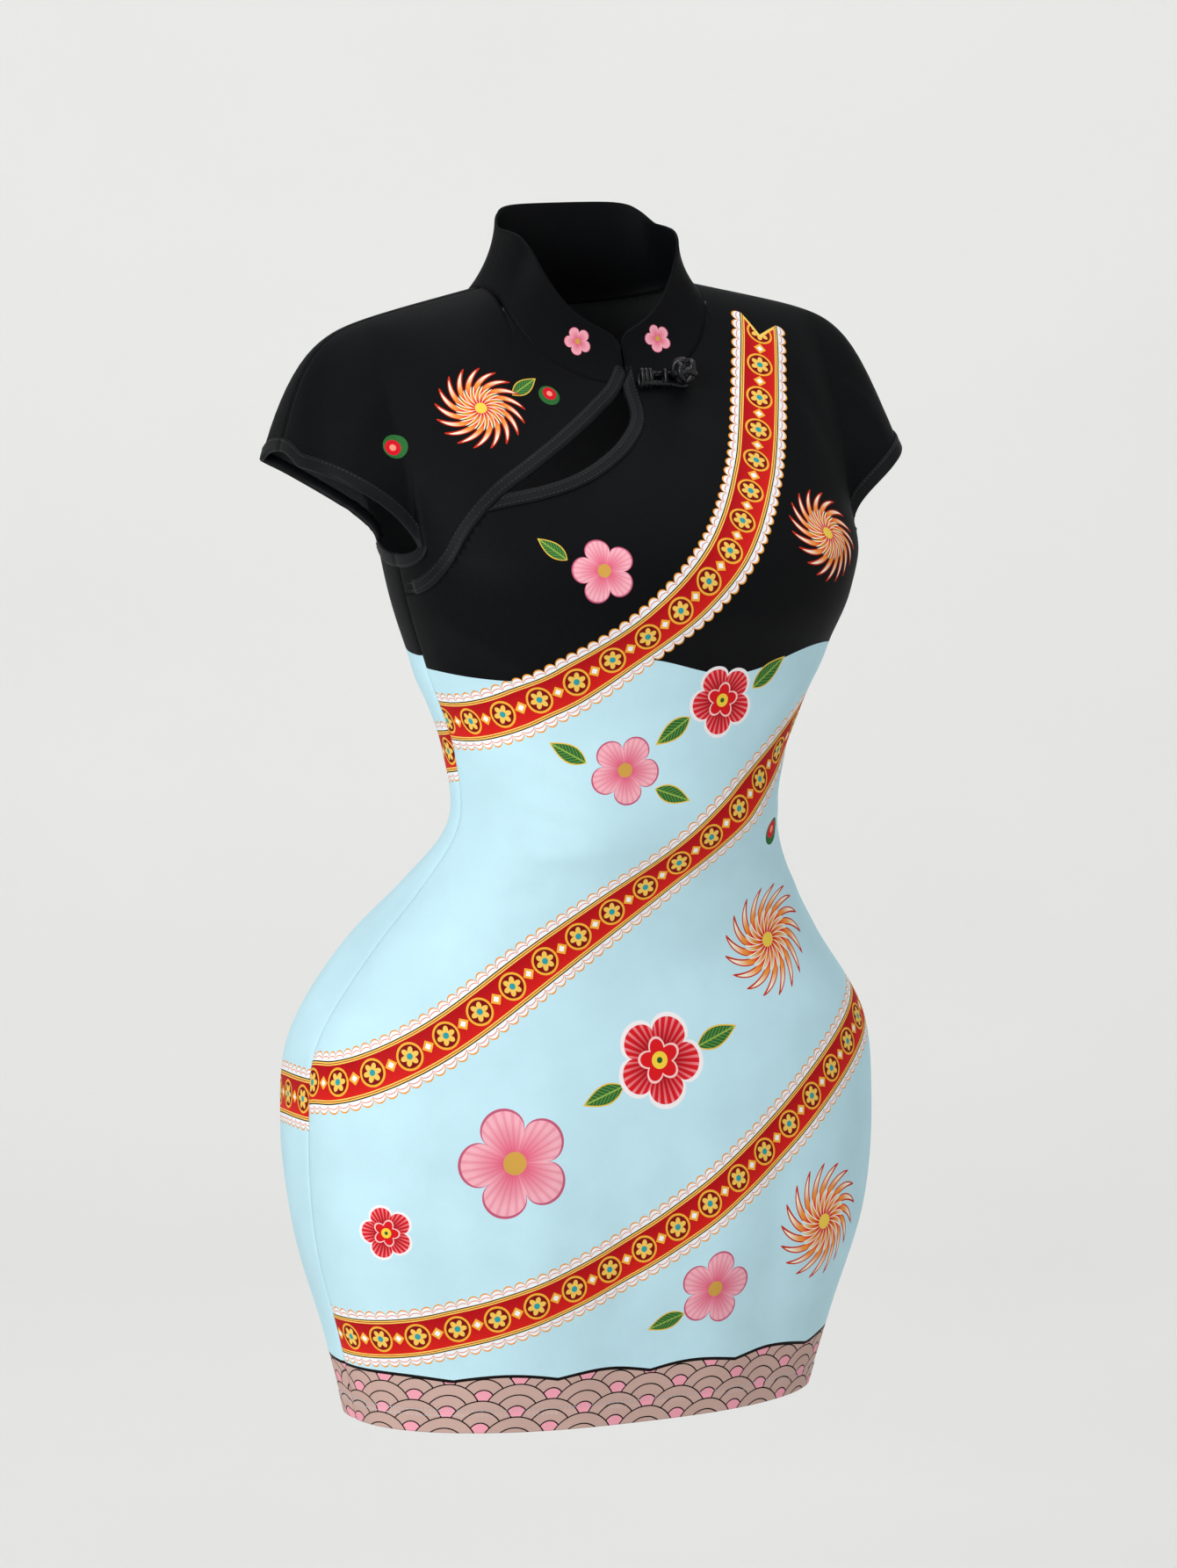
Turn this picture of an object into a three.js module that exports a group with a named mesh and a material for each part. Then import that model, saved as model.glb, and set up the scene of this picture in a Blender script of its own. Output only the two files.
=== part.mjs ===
// A knee-baring qipao of stretch cloth, worn hollow, in millimetres.
// The front faces -Y, the wearer's left is +X, and z = 0 is where neck and shoulder meet.
import * as THREE from 'three';

const wall = 1.6;         // cloth with its turnings
const seam = 0.3;         // gap between pieces that are sewn together
const trimWall = 1.2;     // bias strip laid on a panel
const trimWidth = 9;
const armTrimWidth = 8;

// Body below the arms: at each height the half width, the reach to the front and to the back of
// the side seam, where that seam lies, and how square the front and back halves of the ring are.
const sections = [
  { z: -745, half: 166, front: 96, back: 90, seamY: 1, frontPow: 2.3, backPow: 2.3 },
  { z: -690, half: 180, front: 102, back: 108, seamY: -5, frontPow: 2.3, backPow: 2.4 },
  { z: -620, half: 200, front: 110, back: 130, seamY: -11, frontPow: 2.3, backPow: 2.5 },
  { z: -550, half: 205, front: 109, back: 150, seamY: -12, frontPow: 2.3, backPow: 2.5 },
  { z: -490, half: 199, front: 102, back: 140, seamY: -12, frontPow: 2.3, backPow: 2.5 },
  { z: -430, half: 160, front: 90, back: 122, seamY: -16, frontPow: 2.3, backPow: 2.5 },
  { z: -390, half: 132, front: 88, back: 92, seamY: -28, frontPow: 2.3, backPow: 2.4 },
  { z: -350, half: 112, front: 93, back: 64, seamY: -42, frontPow: 2.3, backPow: 2.3 },
  { z: -300, half: 117, front: 92, back: 74, seamY: -50, frontPow: 2.3, backPow: 2.3 },
  { z: -240, half: 141, front: 93, back: 94, seamY: -57, frontPow: 2.3, backPow: 2.3 },
  { z: -200, half: 156, front: 103, back: 106, seamY: -62, frontPow: 2.35, backPow: 2.3 },
  { z: -160, half: 163, front: 102, back: 108, seamY: -57, frontPow: 2.4, backPow: 2.3 },
];
const bust = sections[sections.length - 1];
const hemZ = sections[0].z;

const neck = { half: 75, frontDrop: 62, backDrop: 12, seamY: -6 };
const shoulder = { tip: 220, end: 219.2, slope: 32, round: 72, roundPow: 9 };
const arm = {
  x: 159, dip: 6, hemPow: 0.6, tipZ: -108, reach: 45,
  frontDepth: 44, backDepth: 58, blend: 12, fillT: 0.4,
};
const arch = { pow: 2.1, frontStart: 0.25, frontHollow: 2.2, backHollow: 0.35, sideX: 170, leanPow: 1.43 };
const slit = { z: -650, open: 5.5, pow: 1.2 };      // in the wearer's left side seam

// Free edge of the overlapping panel, and below it the upper edge of the main front, which
// leaves the drop-shaped opening between them.
const lapEdge = [
  { x: 4, z: -52 }, { x: -10, z: -66 }, { x: -30, z: -78 }, { x: -60, z: -94 },
  { x: -90, z: -110 }, { x: -116, z: -126 }, { x: -136, z: -146 }, { x: -149, z: -168 },
  { x: -157, z: -187 }, { x: -165, z: -208 },
];
const mainEdge = [
  { x: -2, z: -48 }, { x: -4, z: -64 }, { x: -7, z: -81 }, { x: -21, z: -94 },
  { x: -43, z: -106 }, { x: -66, z: -115 }, { x: -90, z: -121 }, { x: -112, z: -125 },
  { x: -134, z: -130 },
];

const collar = {
  wall: 2, frontTop: -27, backTop: 52, topPow: 2.4, endCut: 10, endRound: 0.07,
  lean: 22, leanPow: 2.2, leanHeight: 52, backLean: 0.65,
};
const frog = { x: 36, z: -61, ball: 9, ballFlat: 8, stalk: 2.2, centre: 12.8, cord: 2, bend: 4.7 };

const tubeRows = 26;
const yokeRows = 10;
const sleeveColumns = 8;
const underarmColumns = 3;
const neckSteps = 9;           // in a quarter of the neck, for the panels and the collar alike

const smooth = (u) => {
  const t = Math.min(1, Math.max(0, u));
  return t * t * (3 - 2 * t);
};

// Slope of a column on the bust line, so that the body runs on smoothly into the yoke.
function topSlope(name) {
  if (name === 'seamY') {
    return (neck.seamY - bust.seamY) * arch.leanPow / -bust.z;
  }
  return name === 'front' ? -arch.frontStart * bust.front / -bust.z : 0;
}

// Value of one column of the table at height z, by a cubic through its rows.
function sectionAt(name, z) {
  const last = sections.length - 1;
  const height = Math.min(bust.z, Math.max(hemZ, z));
  let i = 0;
  while (i < last - 1 && height > sections[i + 1].z) {
    i += 1;
  }
  const rise = (k) => (sections[k + 1][name] - sections[k][name]) / (sections[k + 1].z - sections[k].z);
  const step = (k) => sections[k + 1].z - sections[k].z;
  const slopeAt = (k) => {
    if (k === 0) {
      return rise(0);
    }
    if (k === last) {
      return topSlope(name);
    }
    return (rise(k - 1) * step(k) + rise(k) * step(k - 1)) / (step(k) + step(k - 1));
  };
  const h = step(i);
  const t = (height - sections[i].z) / h;
  const a = (2 * t ** 3 - 3 * t ** 2 + 1) * sections[i][name];
  const b = (t ** 3 - 2 * t ** 2 + t) * h * slopeAt(i);
  const c = (3 * t ** 2 - 2 * t ** 3) * sections[i + 1][name];
  const d = (t ** 3 - t ** 2) * h * slopeAt(i + 1);
  return a + b + c + d;
}

// Point of the body ring at height z. The angle runs from the middle (0) to the side (pi / 2),
// and face is -1 for the front and 1 for the back.
function ringPoint(z, angle, sideX, face) {
  const pow = sectionAt(face < 0 ? 'frontPow' : 'backPow', z);
  const reach = sectionAt(face < 0 ? 'front' : 'back', z);
  const x = sectionAt('half', z) * Math.sin(angle) ** (2 / pow);
  const y = sectionAt('seamY', z) + face * reach * Math.max(0, Math.cos(angle)) ** (2 / pow);
  return [sideX * x, y, z];
}

// Height of the shoulder and overarm seam, and inside the neck of the line that joins the two.
function seamHeight(x) {
  const run = shoulder.tip - neck.half;
  const s = (x - neck.half) / run;
  if (s < 0) {
    return shoulder.slope / run * (neck.half ** 2 - x ** 2) / (2 * neck.half);
  }
  return -(shoulder.slope * s + shoulder.round * s ** shoulder.roundPow);
}

function bustDepth(x, face) {
  const pow = face < 0 ? bust.frontPow : bust.backPow;
  const reach = face < 0 ? bust.front : bust.back;
  return reach * (1 - Math.min(1, x / bust.half) ** pow) ** (1 / pow);
}

// Half depth of the yoke above the bust line, at t = 0 on that line and 1 on the shoulder seam.
// It starts as the ring's own depth and the narrow foot of the armhole, and fills out to the
// sleeve's depth as it climbs.
function yokeDepth(x, t, face) {
  const wide = face < 0 ? arm.frontDepth : arm.backDepth;
  const ring = bustDepth(x, face);
  let foot = ring;
  if (x > arm.x) {
    const start = bustDepth(arm.x, face);
    foot = start + (wide - start) * smooth((x - arm.x) / arm.reach);
  }
  const full = arm.blend * Math.log(Math.exp(ring / arm.blend) + Math.exp(wide / arm.blend));
  return foot + (full - foot) * smooth(t / arm.fillT);
}

// Point of the yoke: at each x an arch from the bust line up to the shoulder seam, hollowed
// below the collar bone by t^2 (1 - t). The front already slopes back where it starts.
function yokePoint(x, z, face) {
  const ax = Math.abs(x);
  const t = Math.min(1, Math.max(0, (z - bust.z) / (seamHeight(ax) - bust.z)));
  const hollow = (face < 0 ? arch.frontHollow : arch.backHollow) * (1 - smooth(ax / arch.sideX));
  const start = face < 0 ? arch.frontStart * t * (1 - t) ** 2 : 0;
  const profile = (1 - t ** arch.pow) ** (1 / arch.pow) - hollow * t * t * (1 - t) - start;
  const lean = neck.seamY + (bust.seamY - neck.seamY) * (1 - t) ** arch.leanPow;
  return [x, lean + face * yokeDepth(ax, t, face) * profile, z];
}

const sleeveHem = (x) => {
  const w = Math.max(0, (x - arm.x) / (shoulder.tip - arm.x));
  return bust.z + (arm.tipZ - bust.z) * w ** arm.hemPow;
};

function neckHeight(x, face) {
  const c = Math.sqrt(Math.max(0, 1 - (x / neck.half) ** 2));
  return -(face < 0 ? neck.frontDrop : neck.backDrop) * c;
}

// The whole outer surface as one welded mesh. Each triangle keeps the face it belongs to.
function outerSurface() {
  const points = [];
  const triangles = [];
  const faces = [];
  const known = new Map();
  const put = (p) => {
    const key = p.map((v) => Math.round(v * 500)).join(',');
    if (!known.has(key)) {
      known.set(key, points.length);
      points.push(p);
    }
    return known.get(key);
  };
  const patch = (rows, columns, pointAt, face, flip) => {
    const grid = [];
    for (let r = 0; r <= rows; r += 1) {
      grid.push(columns.map((c) => put(pointAt(r / rows, c))));
    }
    const add = (a, b, c) => {
      if (a !== b && b !== c && a !== c) {
        triangles.push(flip ? [a, c, b] : [a, b, c]);
        faces.push(face);
      }
    };
    for (let r = 0; r < rows; r += 1) {
      for (let c = 0; c < columns.length - 1; c += 1) {
        add(grid[r][c], grid[r][c + 1], grid[r + 1][c + 1]);
        add(grid[r][c], grid[r + 1][c + 1], grid[r + 1][c]);
      }
    }
  };
  const neckColumns = [];
  for (let k = 0; k <= neckSteps; k += 1) {
    neckColumns.push(neck.half * Math.sin(k * Math.PI / 2 / neckSteps));
  }
  const shoulderColumns = [1, 2, 3, 4, 5, 6].map((k) => neck.half + (arm.x - neck.half) * k / 6);
  const columns = neckColumns.concat(shoulderColumns);
  const angleOf = (x, pow) => Math.asin(Math.min(1, x / bust.half) ** (pow / 2));
  const climb = (s) => Math.sin(s * Math.PI / 2) ** (1 / 1.05);
  for (const face of [-1, 1]) {
    const pow = face < 0 ? bust.frontPow : bust.backPow;
    const angles = columns.map((x) => angleOf(x, pow));
    const armAngle = angles[angles.length - 1];
    for (let k = 1; k <= underarmColumns; k += 1) {
      angles.push(armAngle + (Math.PI / 2 - armAngle) * k / underarmColumns);
    }
    const sleeve = [];
    for (let k = 0; k <= sleeveColumns; k += 1) {
      sleeve.push(arm.x + (shoulder.end - arm.x) * (0.5 - 0.5 * Math.cos(Math.PI * k / sleeveColumns)));
    }
    const rimZ = (angle) => bust.z - arm.dip * (1 - (Math.min(1, (Math.PI / 2 - angle) / (Math.PI / 2 - armAngle))) ** 2);
    for (const sideX of [-1, 1]) {
      const flip = face * sideX > 0;
      const tube = (s, angle) => {
        const rise = s * (1.12 - 0.12 * s * s);
        return ringPoint(hemZ + (rimZ(angle) - hemZ) * rise, angle, sideX, face);
      };
      const yoke = (s, x) => {
        const top = x < neck.half ? neckHeight(x, face) : seamHeight(x);
        return yokePoint(sideX * x, bust.z + (top - bust.z) * climb(s), face);
      };
      const cap = (s, x) => {
        const low = sleeveHem(x);
        return yokePoint(sideX * x, low + (seamHeight(x) - low) * climb(s), face);
      };
      patch(tubeRows, angles, tube, face, flip);
      patch(yokeRows, columns, yoke, face, flip);
      patch(yokeRows, sleeve, cap, face, flip);
    }
  }
  const normals = points.map(() => new THREE.Vector3());
  for (const [a, b, c] of triangles) {
    const pa = new THREE.Vector3(...points[a]);
    const n = new THREE.Vector3(...points[b]).sub(pa);
    n.cross(new THREE.Vector3(...points[c]).sub(pa));
    [a, b, c].forEach((i) => normals[i].add(n));
  }
  return { points, normals: normals.map((n) => n.normalize().toArray()), triangles, faces };
}

// The triangles of one face of a surface.
function ofFace(surface, face) {
  const triangles = surface.triangles.filter((t, i) => surface.faces[i] === face);
  return { ...surface, triangles, faces: triangles.map(() => face) };
}

// The part of a surface where the field is positive, cut exactly along its zero line.
function cut(surface, field) {
  const value = surface.points.map((p) => {
    const f = field(p);
    return Math.abs(f) < 0.12 ? 0 : f;
  });
  const points = [...surface.points];
  const normals = [...surface.normals];
  const triangles = [];
  const faces = [];
  const crossings = new Map();
  const mix = (u, v, t) => u.map((w, k) => w + (v[k] - w) * t);
  const crossing = (a, b) => {
    const key = a < b ? `${a}_${b}` : `${b}_${a}`;
    if (!crossings.has(key)) {
      const [i, j] = a < b ? [a, b] : [b, a];
      const t = value[i] / (value[i] - value[j]);
      crossings.set(key, points.length);
      points.push(mix(surface.points[i], surface.points[j], t));
      normals.push(new THREE.Vector3(...mix(surface.normals[i], surface.normals[j], t)).normalize().toArray());
    }
    return crossings.get(key);
  };
  surface.triangles.forEach((tri, index) => {
    if (tri.every((i) => value[i] <= 0)) {
      return;
    }
    const loop = [];
    tri.forEach((a, k) => {
      const b = tri[(k + 1) % 3];
      if (value[a] >= 0) {
        loop.push(a);
      }
      if (value[a] * value[b] < 0) {
        loop.push(crossing(a, b));
      }
    });
    for (let k = 1; k < loop.length - 1; k += 1) {
      triangles.push([loop[0], loop[k], loop[k + 1]]);
      faces.push(surface.faces[index]);
    }
  });
  return { points, normals, triangles, faces };
}

// A closed wall from a surface: its outer side lies `lift` outside the surface and its inner
// side `thickness` further in. `shift` moves a point sideways, to part two panels at a seam.
function wallOf(surface, lift, thickness, shift) {
  const used = [...new Set(surface.triangles.flat())];
  const index = new Map(used.map((v, i) => [v, i]));
  const count = used.length;
  const position = new Float32Array(count * 6);
  used.forEach((v, i) => {
    const p = surface.points[v];
    const n = surface.normals[v];
    const move = shift ? shift(p) : [0, 0, 0];
    for (let k = 0; k < 3; k += 1) {
      position[i * 3 + k] = p[k] + n[k] * lift + move[k];
      position[(i + count) * 3 + k] = p[k] + n[k] * (lift - thickness) + move[k];
    }
  });
  const indices = [];
  const edges = new Map();
  for (const tri of surface.triangles) {
    const [a, b, c] = tri.map((v) => index.get(v));
    indices.push(a, b, c, a + count, c + count, b + count);
    for (const [u, v] of [[a, b], [b, c], [c, a]]) {
      edges.set(`${u}_${v}`, [u, v]);
    }
  }
  for (const [u, v] of edges.values()) {
    if (!edges.has(`${v}_${u}`)) {
      indices.push(u, u + count, v, v, u + count, v + count);
    }
  }
  const geometry = new THREE.BufferGeometry();
  geometry.setAttribute('position', new THREE.BufferAttribute(position, 3));
  geometry.setIndex(indices);
  return geometry;
}

// Signed distance on the surface to a line that the table draws in front view. It is positive
// on the left of the line's direction, seen from the front with z up.
function lineField(table, face) {
  const curve = new THREE.CatmullRomCurve3(table.map((q) => new THREE.Vector3(q.x, q.z, 0)));
  const onSurface = (x, z) => {
    if (z > bust.z) {
      return yokePoint(x, z, face);
    }
    const pow = sectionAt('frontPow', z);
    const u = Math.min(1, Math.abs(x) / sectionAt('half', z));
    return ringPoint(z, Math.asin(u ** (pow / 2)), Math.sign(x), face);
  };
  const flat = curve.getPoints(90);
  const line = flat.map((q) => new THREE.Vector3(...onSurface(q.x, q.y)));
  return (p) => {
    const point = new THREE.Vector3(...p);
    let best = Infinity;
    let sign = 1;
    for (let i = 0; i < line.length - 1; i += 1) {
      const along = line[i + 1].clone().sub(line[i]);
      const to = point.clone().sub(line[i]);
      const t = Math.min(1, Math.max(0, to.dot(along) / along.lengthSq()));
      const distance = to.sub(along.multiplyScalar(t)).length();
      if (distance < best - 1e-6) {
        best = distance;
        const dx = flat[i + 1].x - flat[i].x;
        const dz = flat[i + 1].y - flat[i].y;
        sign = dx * (p[2] - flat[i].y) - dz * (p[0] - flat[i].x) < 0 ? 1 : -1;
      }
    }
    return sign * best;
  };
}

// Distance from the edge of one sleeve opening, measured to points along it.
function armholeField(sideX) {
  const rim = [];
  for (const face of [-1, 1]) {
    const pow = face < 0 ? bust.frontPow : bust.backPow;
    const low = Math.asin((arm.x / bust.half) ** (pow / 2));
    for (let k = 0; k <= 12; k += 1) {
      const dip = arm.dip * (1 - (1 - k / 12) ** 2);
      rim.push(ringPoint(bust.z - dip, low + (Math.PI / 2 - low) * k / 12, sideX, face));
    }
    for (let k = 0; k <= 60; k += 1) {
      const x = arm.x + (shoulder.end - arm.x) * (k / 60) ** 1.5;
      rim.push(yokePoint(sideX * x, sleeveHem(x), face));
    }
    for (let k = 0; k <= 10; k += 1) {
      const low2 = sleeveHem(shoulder.end);
      const z = low2 + (seamHeight(shoulder.end) - low2) * k / 10;
      rim.push(yokePoint(sideX * shoulder.end, z, face));
    }
  }
  return (p) => Math.min(...rim.map((q) => Math.hypot(p[0] - q[0], p[1] - q[1], p[2] - q[2])));
}

// The stand collar: a strip round the neck whose lower edge follows the neckline. Its upper
// edge is low at the front, where its two ends meet and are rounded off, and it leans in most
// at the sides.
function collarSurface() {
  const columns = 4 * neckSteps;
  const rows = 5;
  const points = [];
  const normals = [];
  const triangles = [];
  const halfGap = 0.008;
  for (let c = 0; c <= columns; c += 1) {
    const angle = Math.min(2 * Math.PI - halfGap, Math.max(halfGap, 2 * Math.PI * c / columns));
    const x = neck.half * Math.sin(angle) * -1;
    const face = Math.cos(angle) > 0 ? -1 : 1;
    const base = yokePoint(x, Math.min(neckHeight(Math.abs(x), face), seamHeight(Math.abs(x)) - 1e-6), face);
    const fromEnd = Math.min(angle, 2 * Math.PI - angle);
    const front = ((1 + Math.cos(fromEnd)) / 2) ** collar.topPow;
    const top = collar.backTop - (collar.backTop - collar.frontTop) * front;
    const height = top - collar.endCut * Math.exp(-fromEnd / collar.endRound) - base[2] - seam;
    const lean = collar.lean * Math.min(1, height / collar.leanHeight)
      * (1 - (1 - collar.backLean) * Math.max(0, -Math.cos(angle)));
    const out = new THREE.Vector3(x / neck.half, -Math.cos(angle), 0).normalize();
    for (let r = 0; r <= rows; r += 1) {
      const s = r / rows;
      const inward = lean * (1 - (1 - s) ** collar.leanPow);
      points.push([base[0] - out.x * inward, base[1] - out.y * inward, base[2] + seam + height * s]);
      normals.push([out.x, out.y, 0]);
    }
  }
  const at = (c, r) => c * (rows + 1) + r;
  for (let c = 0; c < columns; c += 1) {
    for (let r = 0; r < rows; r += 1) {
      triangles.push([at(c, r), at(c, r + 1), at(c + 1, r + 1)]);
      triangles.push([at(c, r), at(c + 1, r + 1), at(c + 1, r)]);
    }
  }
  return { points, normals, triangles, faces: triangles.map(() => 0) };
}

// Closed tube of constant radius along a line of points.
function cordAlong(line, radius, sides) {
  const curve = new THREE.CatmullRomCurve3(line);
  const steps = 36;
  const frames = curve.computeFrenetFrames(steps, false);
  const position = [];
  const indices = [];
  for (let i = 0; i <= steps; i += 1) {
    const centre = curve.getPointAt(i / steps);
    for (let k = 0; k < sides; k += 1) {
      const a = 2 * Math.PI * k / sides;
      const p = centre.clone();
      p.addScaledVector(frames.normals[i], radius * Math.cos(a));
      p.addScaledVector(frames.binormals[i], radius * Math.sin(a));
      position.push(...p.toArray());
    }
  }
  for (let i = 0; i < steps; i += 1) {
    for (let k = 0; k < sides; k += 1) {
      const a = i * sides + k;
      const b = i * sides + (k + 1) % sides;
      indices.push(a, b, b + sides, a, b + sides, a + sides);
    }
  }
  for (let k = 1; k < sides - 1; k += 1) {
    const top = steps * sides;
    indices.push(0, k + 1, k, top, top + k, top + k + 1);
  }
  const geometry = new THREE.BufferGeometry();
  geometry.setAttribute('position', new THREE.BufferAttribute(new Float32Array(position), 3));
  geometry.setIndex(indices);
  return geometry;
}

// Knot button: a stalk and a flattened ball in one turned shape, standing on the front.
function knobGeometry() {
  const profile = [new THREE.Vector2(0, seam), new THREE.Vector2(frog.stalk, seam)];
  const start = Math.asin(frog.stalk / frog.ball);
  for (let k = 0; k <= 10; k += 1) {
    const a = start + (Math.PI - start) * k / 10;
    const r = k === 10 ? 0 : frog.ball * Math.sin(a);
    profile.push(new THREE.Vector2(r, frog.centre - frog.ballFlat * Math.cos(a)));
  }
  const sides = 20;
  const position = [0, profile[0].y, 0];
  for (const q of profile.slice(1, -1)) {
    for (let k = 0; k < sides; k += 1) {
      const a = 2 * Math.PI * k / sides;
      position.push(q.x * Math.cos(a), q.y, -q.x * Math.sin(a));
    }
  }
  const rings = profile.length - 2;
  const top = position.length / 3;
  position.push(0, profile[profile.length - 1].y, 0);
  const indices = [];
  for (let k = 0; k < sides; k += 1) {
    const next = (k + 1) % sides;
    indices.push(0, 1 + next, 1 + k);
    for (let r = 0; r < rings - 1; r += 1) {
      const a = 1 + r * sides + k;
      const b = 1 + r * sides + next;
      indices.push(a, b, b + sides, a, b + sides, a + sides);
    }
    indices.push(top, 1 + (rings - 1) * sides + k, 1 + (rings - 1) * sides + next);
  }
  const geometry = new THREE.BufferGeometry();
  geometry.setAttribute('position', new THREE.BufferAttribute(new Float32Array(position), 3));
  geometry.setIndex(indices);
  return geometry;
}

// Outward direction of the front at a point of the yoke.
function frontNormal(x, z) {
  const p = new THREE.Vector3(...yokePoint(x, z, -1));
  const dx = new THREE.Vector3(...yokePoint(x + 1, z, -1)).sub(p);
  const dz = new THREE.Vector3(...yokePoint(x, z + 1, -1)).sub(p);
  return dx.cross(dz).normalize();
}

const group = new THREE.Group();
group.name = 'qipao';

function add(name, geometry, color, roughness) {
  geometry.computeVertexNormals();
  const material = new THREE.MeshStandardMaterial({ color, roughness, metalness: 0 });
  material.name = name;
  const mesh = new THREE.Mesh(geometry, material);
  mesh.name = name;
  group.add(mesh);
}

const surface = outerSurface();
const lapField = lineField(lapEdge, -1);
const mainField = lineField(mainEdge, -1);
const half = seam / 2;

// Half width of the side slit at a height, measured from the side seam.
const slitHalf = (z) => (z < slit.z ? slit.open * ((slit.z - z) / (slit.z - hemZ)) ** slit.pow : 0);
const slitField = (p, face) => {
  if (p[0] < 0 || p[2] >= slit.z) {
    return 100;
  }
  return face * (p[1] - sectionAt('seamY', p[2])) - slitHalf(p[2]);
};
const partFront = () => [0, -half, 0];
const partBack = () => [0, half, 0];

const frontFace = cut(ofFace(surface, -1), (p) => slitField(p, -1));
const frontMain = cut(cut(frontFace, (p) => -lapField(p) - half), (p) => -mainField(p));
const frontLap = cut(frontFace, (p) => lapField(p) - half);
const backFace = cut(ofFace(surface, 1), (p) => slitField(p, 1));

add('front', wallOf(frontMain, 0, wall, partFront), '#9fc4d0', 0.62);
add('front_lap', wallOf(frontLap, 0, wall, partFront), '#15171a', 0.62);
add('back', wallOf(backFace, 0, wall, partBack), '#8fb6c4', 0.62);

const rightArm = armholeField(-1);
const clearOfArm = (p) => rightArm(p) - armTrimWidth - seam;
const lapStrip = cut(cut(frontLap, (p) => trimWidth - lapField(p)), clearOfArm);
const mainStrip = cut(frontMain, (p) => trimWidth + mainField(p));
add('binding_lap', wallOf(lapStrip, seam + trimWall, trimWall, partFront), '#101214', 0.55);
add('binding_front', wallOf(mainStrip, seam + trimWall, trimWall, partFront), '#101214', 0.55);

for (const [name, sideX] of [['armhole_band_right', -1], ['armhole_band_left', 1]]) {
  const distance = armholeField(sideX);
  const near = (p) => (p[0] * sideX > 120 ? armTrimWidth - distance(p) : -10);
  const strip = cut(surface, near);
  add(name, wallOf(strip, seam + half + trimWall, trimWall, null), '#121416', 0.55);
}

add('collar', wallOf(collarSurface(), 0, collar.wall, null), '#141618', 0.6);

const knobAt = new THREE.Vector3(...yokePoint(frog.x, frog.z, -1));
const knobUp = frontNormal(frog.x, frog.z);
const knob = knobGeometry();
knob.applyQuaternion(new THREE.Quaternion().setFromUnitVectors(new THREE.Vector3(0, 1, 0), knobUp));
knob.translate(knobAt.x, knobAt.y - half, knobAt.z);
add('frog_knob', knob, '#0c0d0f', 0.5);

// The loop leaves the overlapping side as two level strands and bends round the stalk. Above
// the neckline it lies in front of the collar's foot.
const loopPoint = (x, z, rise) => {
  const foot = Math.min(z, neckHeight(x, -1) - 0.5);
  const p = new THREE.Vector3(...yokePoint(x, foot, -1));
  p.addScaledVector(frontNormal(x, foot), rise + seam + half);
  p.z += z - foot;
  return p;
};
const loopLine = [];
const strand = [{ x: 8, rise: 4.4 }, { x: 15, rise: 4 }, { x: 22, rise: 3.4 }, { x: 29, rise: 2.8 }];
for (const s of strand) {
  loopLine.push(loopPoint(s.x, frog.z + frog.bend * 0.62, s.rise));
}
for (let k = 0; k <= 6; k += 1) {
  const a = Math.PI * 0.42 - Math.PI * 0.84 * k / 6;
  loopLine.push(loopPoint(frog.x + frog.bend * Math.cos(a), frog.z + frog.bend * 0.9 * Math.sin(a), 2.5));
}
for (const s of [...strand].reverse()) {
  loopLine.push(loopPoint(s.x, frog.z - frog.bend * 0.62, s.rise));
}
add('frog_loop', cordAlong(loopLine, frog.cord, 10), '#0c0d0f', 0.5);

export default group;
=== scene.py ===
import bpy
import math
import numpy as np
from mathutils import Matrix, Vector


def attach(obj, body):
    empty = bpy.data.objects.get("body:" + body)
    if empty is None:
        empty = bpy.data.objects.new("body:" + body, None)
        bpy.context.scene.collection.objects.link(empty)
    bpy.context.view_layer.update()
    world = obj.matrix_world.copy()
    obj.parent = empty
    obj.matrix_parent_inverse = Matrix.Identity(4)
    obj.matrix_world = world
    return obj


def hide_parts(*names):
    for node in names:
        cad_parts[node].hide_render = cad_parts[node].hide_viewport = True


# A knee-baring qipao of printed stretch knit, worn hollow. All lengths here are millimetres
# until a mesh is made. The front faces -Y, the wearer's left is +X, and z = 0 is where neck
# and shoulder meet.

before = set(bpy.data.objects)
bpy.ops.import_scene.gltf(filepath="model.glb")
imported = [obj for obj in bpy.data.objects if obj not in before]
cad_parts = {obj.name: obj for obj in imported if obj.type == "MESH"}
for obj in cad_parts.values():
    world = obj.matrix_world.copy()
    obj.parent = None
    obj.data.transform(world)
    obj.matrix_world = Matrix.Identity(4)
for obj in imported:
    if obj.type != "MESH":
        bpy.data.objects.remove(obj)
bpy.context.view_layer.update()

# form of the dress

# Body below the arms: height, half width, reach to front and back of the side seam, where
# that seam lies, and how square the front and back halves of the ring are.
sectionNames = ("z", "half", "front", "back", "seamY", "frontPow", "backPow")
sectionRows = np.array([
    (-745, 166, 96, 90, 1, 2.3, 2.3),
    (-690, 180, 102, 108, -5, 2.3, 2.4),
    (-620, 200, 110, 130, -11, 2.3, 2.5),
    (-550, 205, 109, 150, -12, 2.3, 2.5),
    (-490, 199, 102, 140, -12, 2.3, 2.5),
    (-430, 160, 90, 122, -16, 2.3, 2.5),
    (-390, 132, 88, 92, -28, 2.3, 2.4),
    (-350, 112, 93, 64, -42, 2.3, 2.3),
    (-300, 117, 92, 74, -50, 2.3, 2.3),
    (-240, 141, 93, 94, -57, 2.3, 2.3),
    (-200, 156, 103, 106, -62, 2.35, 2.3),
    (-160, 163, 102, 108, -57, 2.4, 2.3),
], dtype=float)
bust = dict(zip(sectionNames, sectionRows[-1]))
hemZ = sectionRows[0, 0]

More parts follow.
